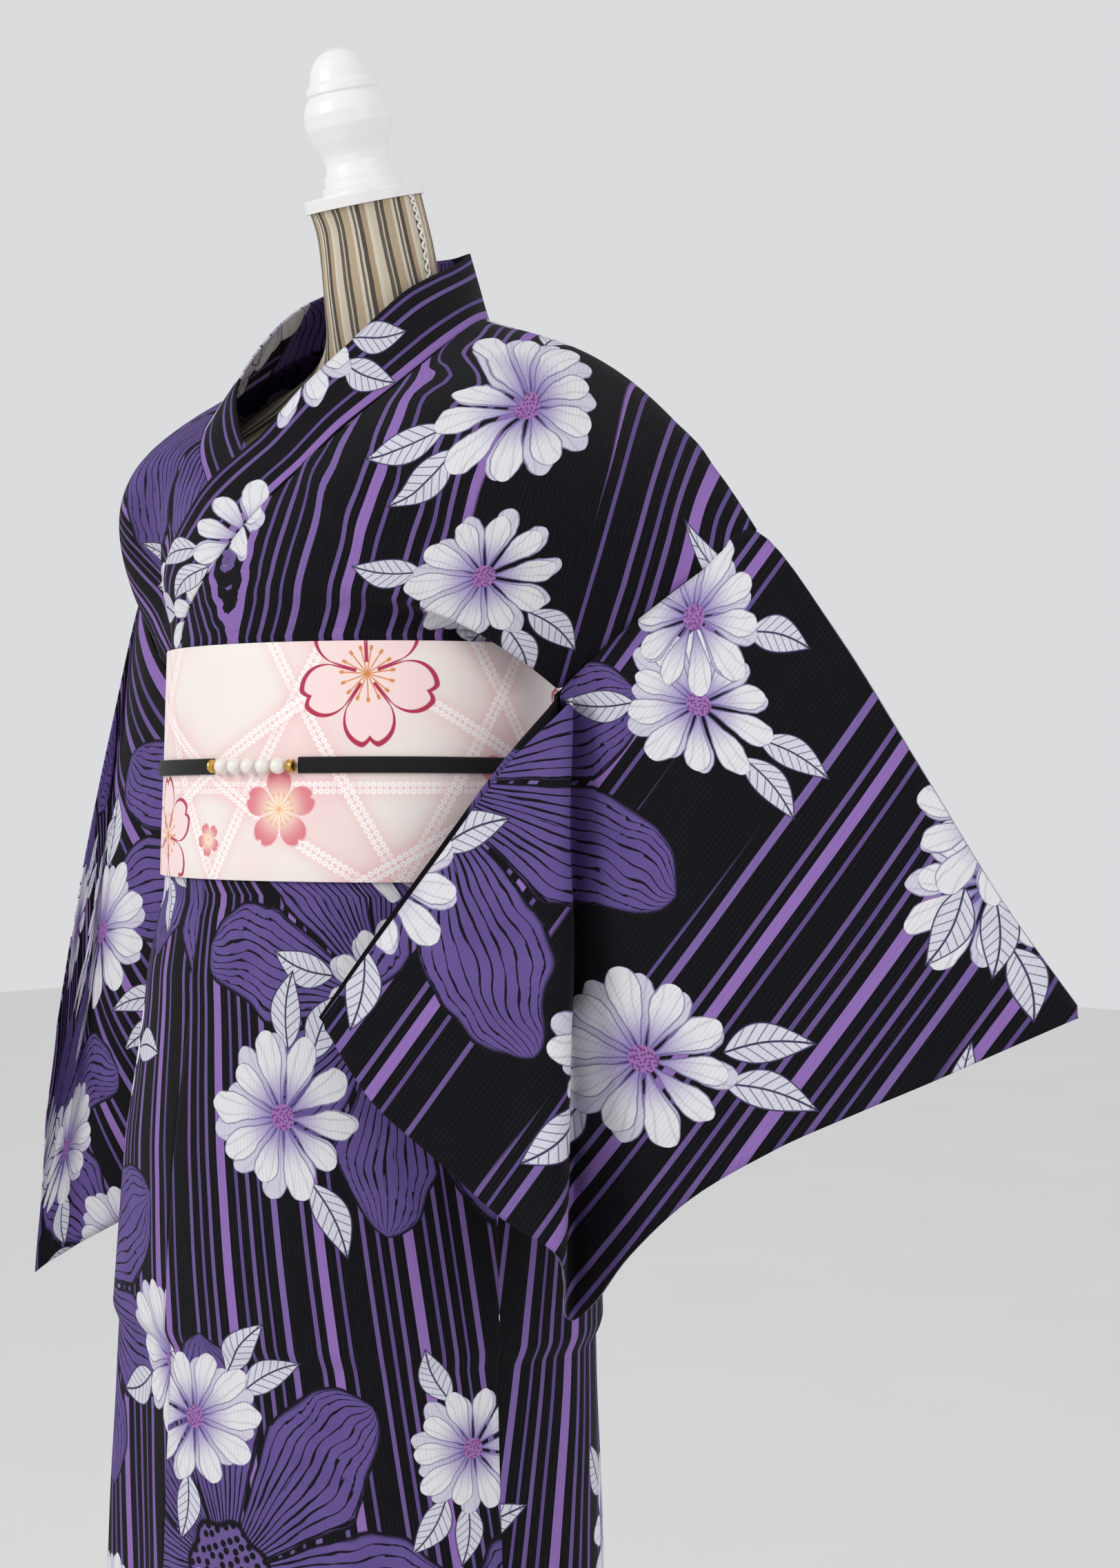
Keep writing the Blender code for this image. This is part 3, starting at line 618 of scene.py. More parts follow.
def body_folds(grid):
    """Drag folds that run from the armpits up and over the chest and the back."""
    turn = np.degrees(np.arctan2(grid[..., 0], -grid[..., 1]))
    height = grid[..., 2]
    total = np.zeros(turn.shape)
    for side, middle, rise, reach, drop, wide, depth in FOLD_LINES:
        away = (turn - middle) * side / reach
        line = rise - drop * away
        across_fold = np.exp(-(((height - line) / wide) ** 2))
        along_fold = np.exp(-(away**2) * 1.5)
        total += depth * across_fold * along_fold * (grid[..., 0] * side > 0)
    return total


def skirt_rows(side, start, end, columns, over):
    rows = []
    for z in SKIRT_Z:
        first = collar_seam_angle(z) if start == OKUMI_SEAM else start
        last = collar_seam_angle(z) if end == OKUMI_SEAM else end
        angles = angles_between(first, last, columns)
        rows.append([on_ring(side * a, z, layer_out(a, over)) for a in angles])
    return rows


SKIRT_Z = [HEM_Z + 0.029 * i for i in range(20)]
SKIRT_Z += [TUCK_Z - 0.018, TUCK_Z - 0.012, TUCK_Z - 0.006, TUCK_Z, TUCK_Z + 0.008, TUCK_Z + 0.022]
SKIRT_Z += [0.725, 0.75, 0.775, 0.80, 0.825, 0.85, 0.875, 0.90, 0.92, 0.94, 0.96, 0.975]
SKIRT_Z += [1.02, 1.065, 1.11, 1.149]
BODY_COLUMNS = 18


def fine_upper(seam, edge, swells, lifted, late):
    """Rows of a panel from its seam by the collar or the back to its outer edge."""
    rows = []
    swells = [Vector(pair) for pair in swells]
    for k, (inner, outer) in enumerate(zip(seam, edge)):
        share = max(0, k - len(SIDE_ROWS)) / ARMHOLE_ROWS
        bulge, rise = curve_through(swells, share)
        if k < len(SIDE_ROWS):
            bulge, rise = bulge * k / len(SIDE_ROWS), rise * k / len(SIDE_ROWS)
        bulge += lifted * (1 - share)
        power = late + (1 - late) * smooth(k, 4, 12)
        rows.append(row_between(inner, outer, BODY_COLUMNS, bulge, rise, power))
    return rows


def body_rows(side, spans):
    """Rows from the front hem over the shoulder to the back hem, and which one is the shoulder."""
    seam = [section[0] for section in collar_half(side)]
    if side < 0:
        seam = [Vector((-p.x, p.y, p.z)) for p in seam]
    count = len(SIDE_ROWS) + ARMHOLE_ROWS + 1
    neck = seam[1 + count :][::-1]
    middle = [Vector((0, y, z)) for z, y in BACK_SEAM]
    up_back = count - len(neck)
    back_seam = [curve_through(middle, k / up_back) for k in range(up_back)] + neck
    lifted, late = ((OVER_LAYER - UNDER_LAYER) * 0.8, 1.4) if side > 0 else (0.0, 4.0)
    front = fine_upper(seam[2 : 2 + count], outer_edge(-1, spans), FRONT_SWELL, lifted, late)
    back = fine_upper(back_seam, outer_edge(1, spans), BACK_SWELL, 0.0, 1.0)
    upper = front + back[-2::-1]
    if side < 0:
        upper = [[Vector((-p.x, p.y, p.z)) for p in row] for row in upper]
    lower_front = skirt_rows(side, OKUMI_SEAM, SIDE_SEAM, BODY_COLUMNS, side > 0)
    lower_back = skirt_rows(side, 180, SIDE_SEAM, BODY_COLUMNS, False)
    return lower_front + upper + lower_back[::-1], len(lower_front) + len(front) - 1


def waved(grid, depth, seed=5):
    """The panel with its drag folds and soft swells, kept flat where the belt holds it."""
    height = grid[..., 2]
    held = np.clip(np.minimum(abs(height - 0.93), abs(height - 1.20)) / 0.05, 0, 1)
    held = np.where((height > 0.93) & (height < 1.20), 0.0, held)
    upper = np.clip((height - 1.165) / 0.03, 0, 1)
    move = soft_waves(grid, 0.16, depth, seed) * held + body_folds(grid) * upper
    outward = normals_of(grid)
    facing = np.sign(np.sum(outward[..., :2] * grid[..., :2], axis=2, keepdims=True))
    return grid + outward * facing * move[..., None]


def build_robe(cotton, collar_cotton):
    sheets = []
    for side, spans, name in ((1, 4, "left"), (-1, 3, "right")):
        rows, shoulder = body_rows(side, spans)
        grid = waved(refined(rows, 3, 3), BODY_SWELL)
        flat = body_places(np.array([[tuple(p) for p in row] for row in rows]), shoulder)
        places = refined([[(*spot, 0.0) for spot in row] for row in flat], 3, 3)[..., :2]
        if side < 0:
            places += RIGHT_PRINT_SHIFT
        body = add_grid(f"robe_body_{name}", [grid], [places], CLOTH, cotton, f"body_{name}")
        rows = skirt_rows(side, OKUMI_EDGE, OKUMI_SEAM, 10, side > 0)[:-3]
        grid = waved(refined(rows, 3, 3), BODY_SWELL)
        places = cloth_places(grid, 0.15)
        places[..., 0] += 0.43 - SKIRT_SLANT * np.clip(0.95 - grid[..., 2], 0, 1)
        okumi = add_grid(f"robe_okumi_{name}", [grid], [places], CLOTH, cotton, f"okumi_{name}")
        sheets += [body, okumi]
    sections = [row_or_line(seam, free) for seam, free in collar_sections()]
    grid = refined(sections, 5, 4)
    places = cloth_places(grid, 0.055)
    places[..., 0] += 0.10
    collar = add_grid("robe_collar", [grid], [places], COLLAR_CLOTH, collar_cotton, "collar")
    return sheets + [collar]


def row_or_line(seam, free):
    if seam.z < COLLAR_LEAVES_BODY_Z:
        return row_between(seam, free, COLLAR_COLUMNS)
    return [seam.lerp(free, j / COLLAR_COLUMNS) for j in range(COLLAR_COLUMNS + 1)]


def sleeve_places(table, lowest, sizes):
    """Where each station's two ends lie on the sleeve's flat cloth."""
    names = [row[0] for row in table]
    width, depth = sizes
    tops = lengths_along(np.array([row[1] for row in table]))
    lows = lengths_along(np.array([row[2] for row in table]))
    end, low = names.index("shoulder"), names.index(lowest)
    places = []
    for i in range(len(table)):
        if i <= end:
            top = (0.0, depth * (1 - tops[i] / tops[end]))
        else:
            top = (width * (tops[i] - tops[end]) / (tops[-1] - tops[end]), 0.0)
        if i <= low:
            bottom = (width * lows[i] / lows[low], depth)
        else:
            bottom = (width, depth * (1 - (lows[i] - lows[low]) / (lows[-1] - lows[low])))
        places.append((top, bottom))
    return places


def build_sleeve(side, table, armpit, first_side, lowest, wrist_from, cotton, plane=None):
    """One hanging sleeve. plane gives the print's two directions where it is laid on flat."""
    stations, names = sleeve_layers(table, armpit, first_side)
    ends = sleeve_places(table, lowest, SLEEVE_FLAT)
    steps = range(SLEEVE_ROWS + 1)
    spots = []
    for top, low in np.array(ends):
        spots.append([(*top + (low - top) * j / SLEEVE_ROWS, 0.0) for j in steps])
    by = SLEEVE_BY
    place = refined(spots, by, by)[..., :2]
    grids, places = [], []
    for k in (0, 1):
        grid = refined([layers[k] for layers in stations], by, by)
        inside = np.sin(np.linspace(0, math.pi, grid.shape[1]))[None, :, None]
        swell = soft_waves(grid, 0.15, 0.0021, 9)[..., None]
        grids.append(grid + normals_of(grid) * swell * inside)
        shifted = place.copy()
        if k == 1:
            shifted[..., 1] *= -1
            grids[1] = grids[1][:, ::-1]
            shifted = shifted[:, ::-1]
        if plane is not None:
            shifted = grids[k] @ np.array(plane).T
            shifted[..., 0] += 1.31 * k
        places.append(shifted)
    rows, wide = grids[0].shape[:2]
    far = rows * wide
    low_end = rows if wrist_from is None else names.index(wrist_from) * by + 1
    top_start = names.index("shoulder") * by
    low_strip = [(i * wide + wide - 1, far + i * wide) for i in range(low_end)]
    top_strip = [(far + i * wide + wide - 1, i * wide) for i in range(top_start, rows)]
    joins = (low_strip, top_strip)
    return add_grid(f"robe_sleeve_{side}", grids, places, CLOTH, cotton, f"sleeve_{side}", joins)


# Belt, cord, pearls


def build_belt(satin, velvet, pearl, gilt):
    angles = [BELT_START + BELT_STEP * i for i in range(133)]
    heights = [OBI_BOTTOM + (OBI_TOP - OBI_BOTTOM) * i / 12 for i in range(13)]
    rows = [[tuple(on_ring(a, z, OBI_LAYER + belt_out(a))) for a in angles] for z in heights]
    grid = np.array(rows)
    sag = np.sin(np.linspace(0, math.pi, 13))[:, None]
    ripple = soft_waves(grid, 0.11, 0.0005, 3) * sag
    grid += normals_of(grid) * ripple[..., None]
    places = np.zeros(grid.shape[:2] + (2,))
    places[..., 0] = lengths_along(grid[6])[None, :]
    places[..., 1] = (np.array(heights) - OBI_BOTTOM)[:, None]
    band = add_grid("obi_cloth", [grid], [places], OBI_CLOTH, satin, "obi_band")
    edge = band.modifiers.new("Edge", "BEVEL")
    edge.width = 0.0006
    edge.segments = 2
    edge.limit_method = "ANGLE"
    edge.angle_limit = math.radians(60)
    cord_out = OBI_LAYER + OBI_CLOTH / 2 + CORD_THICK / 2 - 0.0003
    count = 220
    start, end = PEARLS_AT + PEARLS_REACH - 0.8, PEARLS_AT + 360.8 - PEARLS_REACH
    ring = [start + (end - start) * i / count for i in range(count + 1)]
    section = [(math.cos(t), math.sin(t)) for t in np.linspace(0, 2 * math.pi, 13)[:-1]]
    rows = []
    for a in ring:
        lap = OBI_LAP_OUT * smooth(a, OBI_END - 50, OBI_END - 40)
        lap *= 1 - smooth(a, OBI_END + 3, OBI_END + 8)
        sink = 0.0008 * math.sin(math.radians(a) * 2)
        row = []
        for c, s in section:
            depth = math.copysign(abs(c) ** 0.6, c) * 0.0017
            tall = math.copysign(abs(s) ** 0.5, s) * CORD_WIDTH * 0.46
            row.append(on_ring(a, CORD_Z + tall + sink, cord_out + lap + depth))
        rows.append(row)
    add_tube_rows("cord_velvet", rows, velvet, "obi_cord")
    build_pearls(pearl, gilt)
    return band


def tube_faces(rows, wide):
    """The two ends and the sides of a tube whose points lie ring after ring."""
    faces = [tuple(range(wide))[::-1], tuple(range((rows - 1) * wide, rows * wide))]
    for i in range(rows - 1):
        for j in range(wide):
            k = (j + 1) % wide
            faces.append((i * wide + j, i * wide + k, (i + 1) * wide + k, (i + 1) * wide + j))
    return faces


def add_tube_rows(name, rows, material, node):
    wide = len(rows[0])
    points = [tuple(p) for row in rows for p in row]
    return add_mesh(name, points, tube_faces(len(rows), wide), material, node)


def add_mesh(name, points, faces, material, nodes):
    mesh = bpy.data.meshes.new(name)
    mesh.from_pydata(points, [], faces)
    mesh.validate()
    mesh.update()
    obj = linked(name, mesh)
    mesh.materials.append(material)
    mesh.shade_smooth()
    mesh.set_sharp_from_angle(angle=math.radians(48))
    take_place(obj, nodes)
    return obj


def turned(profile, sides, where, lean):
    """Points and faces of a turned piece, from (height, radius) rows bottom to top."""
    points = []
    for height, radius in profile:
        for i in range(sides):
            turn = 2 * math.pi * i / sides
            spot = Vector((radius * math.cos(turn), radius * math.sin(turn), height))
            points.append(tuple(Matrix.Rotation(lean, 3, "X") @ spot + where))
    return points, tube_faces(len(profile), sides)


def build_pearls(pearl, gilt):
    pearl_out = OBI_LAYER + OBI_CLOTH / 2 + PEARL_RADIUS + 0.0004
    spread = math.degrees(2 * (PEARL_RADIUS + 0.0002) / 0.150)
    for i in range(PEARL_COUNT):
        angle = PEARLS_AT + (i - (PEARL_COUNT - 1) / 2) * spread
        middle = on_ring(angle, CORD_Z, pearl_out)
        count = 14
        profile = []
        for j in range(1, count):
            turn = math.pi * j / count
            profile.append((-PEARL_RADIUS * math.cos(turn), PEARL_RADIUS * math.sin(turn)))
        points, faces = turned(profile, 28, middle, 0.0)
        add_mesh(f"pearl_bead_{i + 1}", points, faces, pearl, f"pearl_{i + 1}")
    for side in (-1, 1):
        angle = PEARLS_AT + side * (PEARL_COUNT / 2 * spread + 1.2)
        middle = on_ring(angle, CORD_Z, pearl_out - 0.0008)
        profile = [(-0.0024, 0.0016), (-0.0022, 0.0040), (-0.0016, 0.0046), (-0.0008, 0.0041)]
        profile += [(0.0008, 0.0041), (0.0016, 0.0046), (0.0022, 0.0040), (0.0024, 0.0016)]
        points, faces = turned(profile, 28, Vector(), 0.0)
        spin = Matrix.Rotation(math.radians(angle), 3, "Z") @ Matrix.Rotation(math.pi / 2, 3, "Y")
        points = [tuple(spin @ Vector(p) + middle) for p in points]
        name = "left" if side > 0 else "right"
        add_mesh(f"clasp_cap_{name}", points, faces, gilt, f"clasp_{name}")


# Form and stand


def build_form(linen, wood, braid):
    count = 24
    rings = []
    for z, half_width, half_depth, back in FORM_RINGS:
        turns = [2 * math.pi * i / count for i in range(count)]
        rings.append([(half_width * math.sin(t), back - half_depth * math.cos(t), z) for t in turns])
    neck_up = Vector((0, -math.sin(NECK_LEAN), math.cos(NECK_LEAN)))
    rim = []
    for i in range(count):
        turn = 2 * math.pi * i / count
        spot = Matrix.Rotation(NECK_LEAN, 3, "X") @ Vector((math.sin(turn), -math.cos(turn), 0))
        rim.append(tuple(NECK_TOP - neck_up * 0.0002 + spot * 0.0405))
    rings.append(rim)
    closed = [[*ring, ring[0]] for ring in rings]
    grid = refined(closed, 4, 4)[:, :-1]
    wide = grid.shape[1]
    points = list(map(tuple, grid.reshape(-1, 3)))
    add_mesh("form_cover", points, tube_faces(len(grid), wide), linen, "form_torso")
    points, faces = turned(fine_profile(FINIAL[:-1]), 72, NECK_TOP, NECK_LEAN)
    add_mesh("cap_finial", points, faces, wood, "finial")
    build_braid(grid, braid)


def fine_profile(profile):
    """The turned outline with a small round at each step."""
    rounded = []
    for i, here in enumerate(profile):
        if 0 < i < len(profile) - 1:
            before, after = Vector(profile[i - 1]), Vector(profile[i + 1])
            here = Vector(here)
            for share in (0.25, 0.12):
                rounded.append(tuple(here.lerp(before, share)))
            rounded.append(tuple(here.lerp((before + after) / 2, 0.04)))
            for share in (0.12, 0.25):
                rounded.append(tuple(here.lerp(after, share)))
        else:
            rounded.append(here)
    return rounded


def build_braid(grid, braid):
    """A looped braid sewn down the wearer's left of the neck."""
    rows = grid[-26:]
    column = round(rows.shape[1] * BRAID_SHARE)
    line = [Vector(p) for p in rows[:, column]]
    side = (Vector(rows[0, column + 2]) - Vector(rows[0, column - 2])).normalized()
    out = side.cross(line[-1] - line[0]).normalized()
    if out.y > 0 and out.x < 0:
        out = -out
    count = 420
    for strand in (0, 1):
        path = []
        for i in range(count + 1):
            t = i / count
            wave = math.sin(t * 2 * math.pi * 17 + strand * math.pi)
            lift = 0.0009 + 0.0006 * math.cos(t * 4 * math.pi * 17)
            path.append(curve_through(line, t) + side * wave * 0.0030 + out * lift)
        curve = bpy.data.curves.new(f"neck_braid_{strand + 1}", "CURVE")
        curve.dimensions = "3D"
        curve.bevel_depth = 0.0009
        curve.bevel_resolution = 2
        spline = curve.splines.new("POLY")
        spline.points.add(count)
        for point, spot in zip(spline.points, path):
            point.co = (*spot, 1.0)
        curve.materials.append(braid)
        obj = linked(curve.name, curve)
        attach(obj, "root")


BRAID_SHARE = 0.27  # place round the neck, from the front towards the wearer's left

# Materials


def colour(text):
    """Linear colour from a six-digit sRGB one."""
    parts = [int(text[i : i + 2], 16) / 255 for i in (0, 2, 4)]
    return tuple(c / 12.92 if c < 0.04045 else ((c + 0.055) / 1.055) ** 2.4 for c in parts) + (1.0,)


class Graph:
    """Short names for the shader nodes used here. Sockets and plain values may be mixed."""

    def __init__(self, tree):
        self.tree = tree

    def node(self, kind, **settings):
        made = self.tree.nodes.new("ShaderNode" + kind)
        for name, value in settings.items():
            setattr(made, name, value)
        return made

    def put(self, socket, value):
        if isinstance(value, bpy.types.NodeSocket):
            self.tree.links.new(value, socket)
        else:
            socket.default_value = value

    def math(self, operation, *values):
        made = self.node("Math", operation=operation)
        for socket, value in zip(made.inputs, values):
            self.put(socket, value)
        return made.outputs[0]

    add = partialmethod(math, "ADD")
    sub = partialmethod(math, "SUBTRACT")
    mul = partialmethod(math, "MULTIPLY")
    div = partialmethod(math, "DIVIDE")
    muladd = partialmethod(math, "MULTIPLY_ADD")
    abs = partialmethod(math, "ABSOLUTE")
    low = partialmethod(math, "MINIMUM")
    high = partialmethod(math, "MAXIMUM")
    floor = partialmethod(math, "FLOOR")
    fraction = partialmethod(math, "FRACT")
    modulo = partialmethod(math, "MODULO")
    power = partialmethod(math, "POWER")
    sine = partialmethod(math, "SINE")
    cosine = partialmethod(math, "COSINE")

    def clamp(self, value):
        return self.high(self.low(value, 1.0), 0.0)

    def step(self, value, edge, blur):
        """0 below the edge and 1 above it."""
        made = self.node("MapRange", interpolation_type="SMOOTHSTEP")
        low, high = self.sub(edge, blur), self.add(edge, blur)
        for socket, number in zip(made.inputs, (value, low, high, 0.0, 1.0)):
            self.put(socket, number)
        return made.outputs[0]

    def under(self, value, edge, blur):
        """1 below the edge and 0 above it."""
        return self.sub(1.0, self.step(value, edge, blur))

    def apart(self, a, b):
        return self.abs(self.sub(a, b))

    def vector(self, operation, *values):
        made = self.node("VectorMath", operation=operation)
        sockets = [s for s in made.inputs if s.enabled]
        for socket, value in zip(sockets, values):
            self.put(socket, value)
        return made.outputs["Value" if operation in ("LENGTH", "DOT_PRODUCT") else "Vector"]

    def split(self, vector):
        made = self.node("SeparateXYZ")
        self.put(made.inputs[0], vector)
        return made.outputs[0], made.outputs[1], made.outputs[2]

    def join(self, x, y, z=0.0):
        made = self.node("CombineXYZ")
        for socket, value in zip(made.inputs, (x, y, z)):
            self.put(socket, value)
        return made.outputs[0]

    def mix(self, share, low, high):
        made = self.node("Mix", data_type="RGBA")
        self.put(made.inputs["Factor"], share)
        for socket, value in zip([s for s in made.inputs if s.type == "RGBA"], (low, high)):
            self.put(socket, value)
        return [s for s in made.outputs if s.type == "RGBA"][0]

    def noise(self, vector, scale, detail=2.0):
        made = self.node("TexNoise")
        self.put(made.inputs["Vector"], vector)
        made.inputs["Scale"].default_value = scale
        made.inputs["Detail"].default_value = detail
        return made.outputs[0]

    def random(self, vector):
        made = self.node("TexWhiteNoise", noise_dimensions="3D")
        self.put(made.inputs["Vector"], vector)
        return made.outputs["Value"], made.outputs["Color"]

    def turned(self, vector, angle):
        made = self.node("VectorRotate", rotation_type="Z_AXIS")
        self.put(made.inputs["Vector"], vector)
        self.put(made.inputs["Angle"], angle)
        return made.outputs[0]


def new_material(name):
    material = bpy.data.materials.new(name)
    material.use_nodes = True
    return material, Graph(material.node_tree), material.node_tree.nodes["Principled BSDF"]


def banded(graph, share, bands):
    """Plain bands of colour from (place, colour) rows, each up to the next one's place."""
    ramp = graph.node("ValToRGB")
    ramp.color_ramp.interpolation = "CONSTANT"
    stops = ramp.color_ramp.elements
    for i, (place, shade) in enumerate(bands):
        if i < 2:
            stops[i].position = place
        stop = stops[i] if i < 2 else stops.new(place)
        stop.color = colour(shade)
    graph.put(ramp.inputs[0], share)
    return ramp.outputs[0]


def new_group(name, inputs, outputs):
    tree = bpy.data.node_groups.new(name, "ShaderNodeTree")
    for label, kind in inputs:
        tree.interface.new_socket(label, in_out="INPUT", socket_type="NodeSocket" + kind)
    for label, kind in outputs:
        tree.interface.new_socket(label, in_out="OUTPUT", socket_type="NodeSocket" + kind)
    graph = Graph(tree)
    start, end = tree.nodes.new("NodeGroupInput"), tree.nodes.new("NodeGroupOutput")
    return graph, start.outputs, end.inputs


def use_group(graph, name, *values):
    made = graph.tree.nodes.new("ShaderNodeGroup")
    made.node_tree = bpy.data.node_groups[name]
    for socket, value in zip(made.inputs, values):
        graph.put(socket, value)
    return list(made.outputs)


def polar(graph, vector):
    x, y, _ = graph.split(vector)
    radius = graph.vector("LENGTH", graph.join(x, y))
    return radius, graph.math("ARCTAN2", y, x)


def sector(graph, angle, count, shift=0.0):
    """Which of count sectors an angle is in, and how far from its middle, -0.5 to 0.5."""
    turned = graph.muladd(angle, count / (2 * math.pi), count + shift)
    index = graph.floor(turned)
    return index, graph.sub(graph.sub(turned, index), 0.5)


def petal_ring(graph, radius, angle, seed, count, shift, reach):
    """(room inside the edge, distance from the middle line) for one ring of petals."""
    index, across = sector(graph, angle, count, shift)
    chance, _ = graph.random(graph.join(graph.modulo(index, count), seed, shift))
    tip = graph.muladd(chance, 0.20 * reach, 0.80 * reach)
    beyond = graph.div(graph.sub(radius, 0.46), graph.sub(tip, 0.46))
    beyond = graph.clamp(beyond)
    round_end = graph.math("SQRT", graph.sub(1.0, graph.mul(beyond, beyond)))
    near = graph.clamp(graph.muladd(radius, 0.55, 0.62))
    half = graph.mul(graph.mul(near, round_end), 0.5)
    room = graph.sub(half, graph.abs(across))
    room = graph.mul(room, graph.mul(radius, 2 * math.pi / count))
    return room, across


def make_daisy_group():
    graph, given, out = new_group(
        "daisy", [("Place", "Vector"), ("Seed", "Float")], [("Colour", "Color"), ("Mask", "Float")]
    )
    radius, angle = polar(graph, given[0])
    wobble = graph.muladd(graph.noise(given[0], 3.0), 0.16, -0.08)
    angle = graph.add(angle, wobble)
    inner = graph.step(radius, 0.36, 0.30)
    white, violet = colour("E1E0E3"), colour("8C79B8")
    petal = graph.mix(inner, violet, white)
    line = colour("544A80")
    colours, mask = None, None
    for count, shift, reach, shade in ((11, 0.5, 0.97, 0.72), (10, 0.0, 1.0, 1.0)):
        room, across = petal_ring(graph, radius, angle, given[1], count, shift, reach)
        inside = graph.step(room, 0.010, 0.006)
        edge = graph.under(room, 0.024, 0.008)
        vein = graph.apart(graph.abs(across), 0.17)
        vein = graph.under(vein, 0.025, 0.02)
        tint = graph.mix(graph.mul(vein, 0.22), petal, line)
        tint = graph.mix(graph.mul(edge, 0.80), tint, line)
        tint = graph.mix(1 - shade, tint, violet)
        colours = tint if colours is None else graph.mix(inside, colours, tint)
        mask = inside if mask is None else graph.high(mask, inside)
    dots = graph.node("TexVoronoi", feature="F1", voronoi_dimensions="2D")
    graph.put(dots.inputs["Vector"], given[0])
    dots.inputs["Scale"].default_value = 24.0
    seeds = graph.step(dots.outputs["Distance"], 0.32, 0.12)
    eye = graph.mix(seeds, colour("6B3F80"), colour("A070AC"))
    in_eye = graph.under(radius, 0.150, 0.012)
    colours = graph.mix(in_eye, colours, eye)
    graph.put(out[0], colours)
    graph.put(out[1], graph.high(mask, in_eye))


def make_leaf_group():
    """A veined leaf that points along +X from the middle of a flower."""
    graph, given, out = new_group(
        "leaf", [("Place", "Vector"), ("Turn", "Float")], [("Colour", "Color"), ("Mask", "Float")]
    )
    x, y, _ = graph.split(graph.turned(given[0], given[1]))
    along = graph.clamp(graph.div(graph.sub(x, 0.78), 0.92))
    bend = graph.mul(graph.sine(graph.mul(along, 3.1)), 0.07)
    side = graph.apart(y, bend)
    swell = graph.sine(graph.mul(graph.power(along, 0.8), math.pi))
    half = graph.mul(swell, 0.22)
    room = graph.sub(half, side)
    inside = graph.step(room, 0.004, 0.004)
    vein = graph.fraction(graph.mul(graph.sub(x, graph.mul(side, 0.9)), 8.5))
    vein = graph.under(graph.apart(vein, 0.5), 0.07, 0.04)
    rib = graph.under(side, 0.012, 0.006)
    edge = graph.under(room, 0.022, 0.008)
    lines = graph.high(graph.mul(vein, 0.75), graph.high(rib, edge))
    graph.put(out[0], graph.mix(lines, colour("D3D2DE"), colour("3B3356")))
    graph.put(out[1], inside)


def make_bloom_group():
    """A wide purple flower drawn with fine black lines, with a dotted middle."""
    graph, given, out = new_group(
        "bloom", [("Place", "Vector"), ("Seed", "Float")], [("Colour", "Color"), ("Mask", "Float")]
    )
    radius, angle = polar(graph, given[0])
    wobble = graph.muladd(graph.noise(given[0], 2.2), 0.5, -0.25)
    angle = graph.add(angle, graph.mul(wobble, radius))
    index, across = sector(graph, angle, 8)
    chance, _ = graph.random(graph.join(graph.modulo(index, 8.0), given[1], 3.0))
    tip = graph.muladd(chance, 0.25, 0.75)
    beyond = graph.clamp(graph.div(graph.sub(radius, 0.58), graph.sub(tip, 0.58)))
    half = graph.mul(graph.power(graph.sub(1.0, beyond), 0.62), 0.49)
    side = graph.abs(across)
    inside = graph.step(graph.sub(half, side), 0.01, 0.008)
    fan = graph.div(across, graph.high(half, 0.05))
    rough = graph.noise(graph.join(graph.mul(angle, 9.0), graph.mul(radius, 1.5)), 4.0)
    lines = graph.fraction(graph.muladd(fan, 5.4, graph.mul(rough, 0.7)))
    lines = graph.apart(lines, 0.5)
    heavy = graph.muladd(rough, 0.22, -0.03)
    heavy = graph.add(heavy, graph.mul(graph.clamp(graph.sub(0.55, radius)), 0.30))
    lines = graph.under(lines, heavy, 0.03)
    petal = graph.mix(graph.noise(given[0], 5.0), colour("55427F"), colour("6D5A9A"))
    black = colour("0C0A12")
    tint = graph.mix(lines, petal, black)
    edge = graph.under(graph.sub(half, side), 0.04, 0.02)
    tint = graph.mix(edge, tint, black)
    dots = graph.node("TexVoronoi", feature="F1", voronoi_dimensions="2D")
    graph.put(dots.inputs["Vector"], given[0])
    dots.inputs["Scale"].default_value = 27.0
    dots.inputs["Randomness"].default_value = 0.45
    cells = graph.step(dots.outputs["Distance"], 0.34, 0.05)
    scallop = graph.mul(graph.cosine(graph.mul(angle, 7.0)), 0.012)
    eye_edge = graph.add(radius, scallop)
    cells = graph.mul(cells, graph.under(eye_edge, 0.165, 0.006))
    eye = graph.mix(cells, black, colour("6B5590"))
    in_eye = graph.under(eye_edge, 0.185, 0.006)
    graph.put(out[0], graph.mix(in_eye, tint, eye))
    graph.put(out[1], graph.high(inside, in_eye))


def scattered(graph, place, pitch, shift, jitter, seed):
    """A spot in each cell of a staggered lattice: place from it, and its random numbers."""
    x, y, _ = graph.split(place)
    row_place = graph.div(graph.add(y, shift[1]), pitch[1])
    row = graph.floor(row_place)
    stagger = graph.mul(graph.modulo(graph.add(row, 100.0), 2.0), 0.5)
    column_place = graph.add(graph.div(graph.add(x, shift[0]), pitch[0]), stagger)
    column = graph.floor(column_place)
    value, many = graph.random(graph.join(column, row, seed))
    first, second, third = graph.split(many)
    local_x = graph.sub(graph.sub(column_place, column), 0.5)
    local_y = graph.sub(graph.sub(row_place, row), 0.5)
    move_x = graph.muladd(first, jitter, -jitter / 2)
    move_y = graph.muladd(second, jitter, -jitter / 2)
    local = graph.join(
        graph.sub(graph.mul(local_x, pitch[0]), move_x),
        graph.sub(graph.mul(local_y, pitch[1]), move_y),
    )
    return local, value, first, second, third


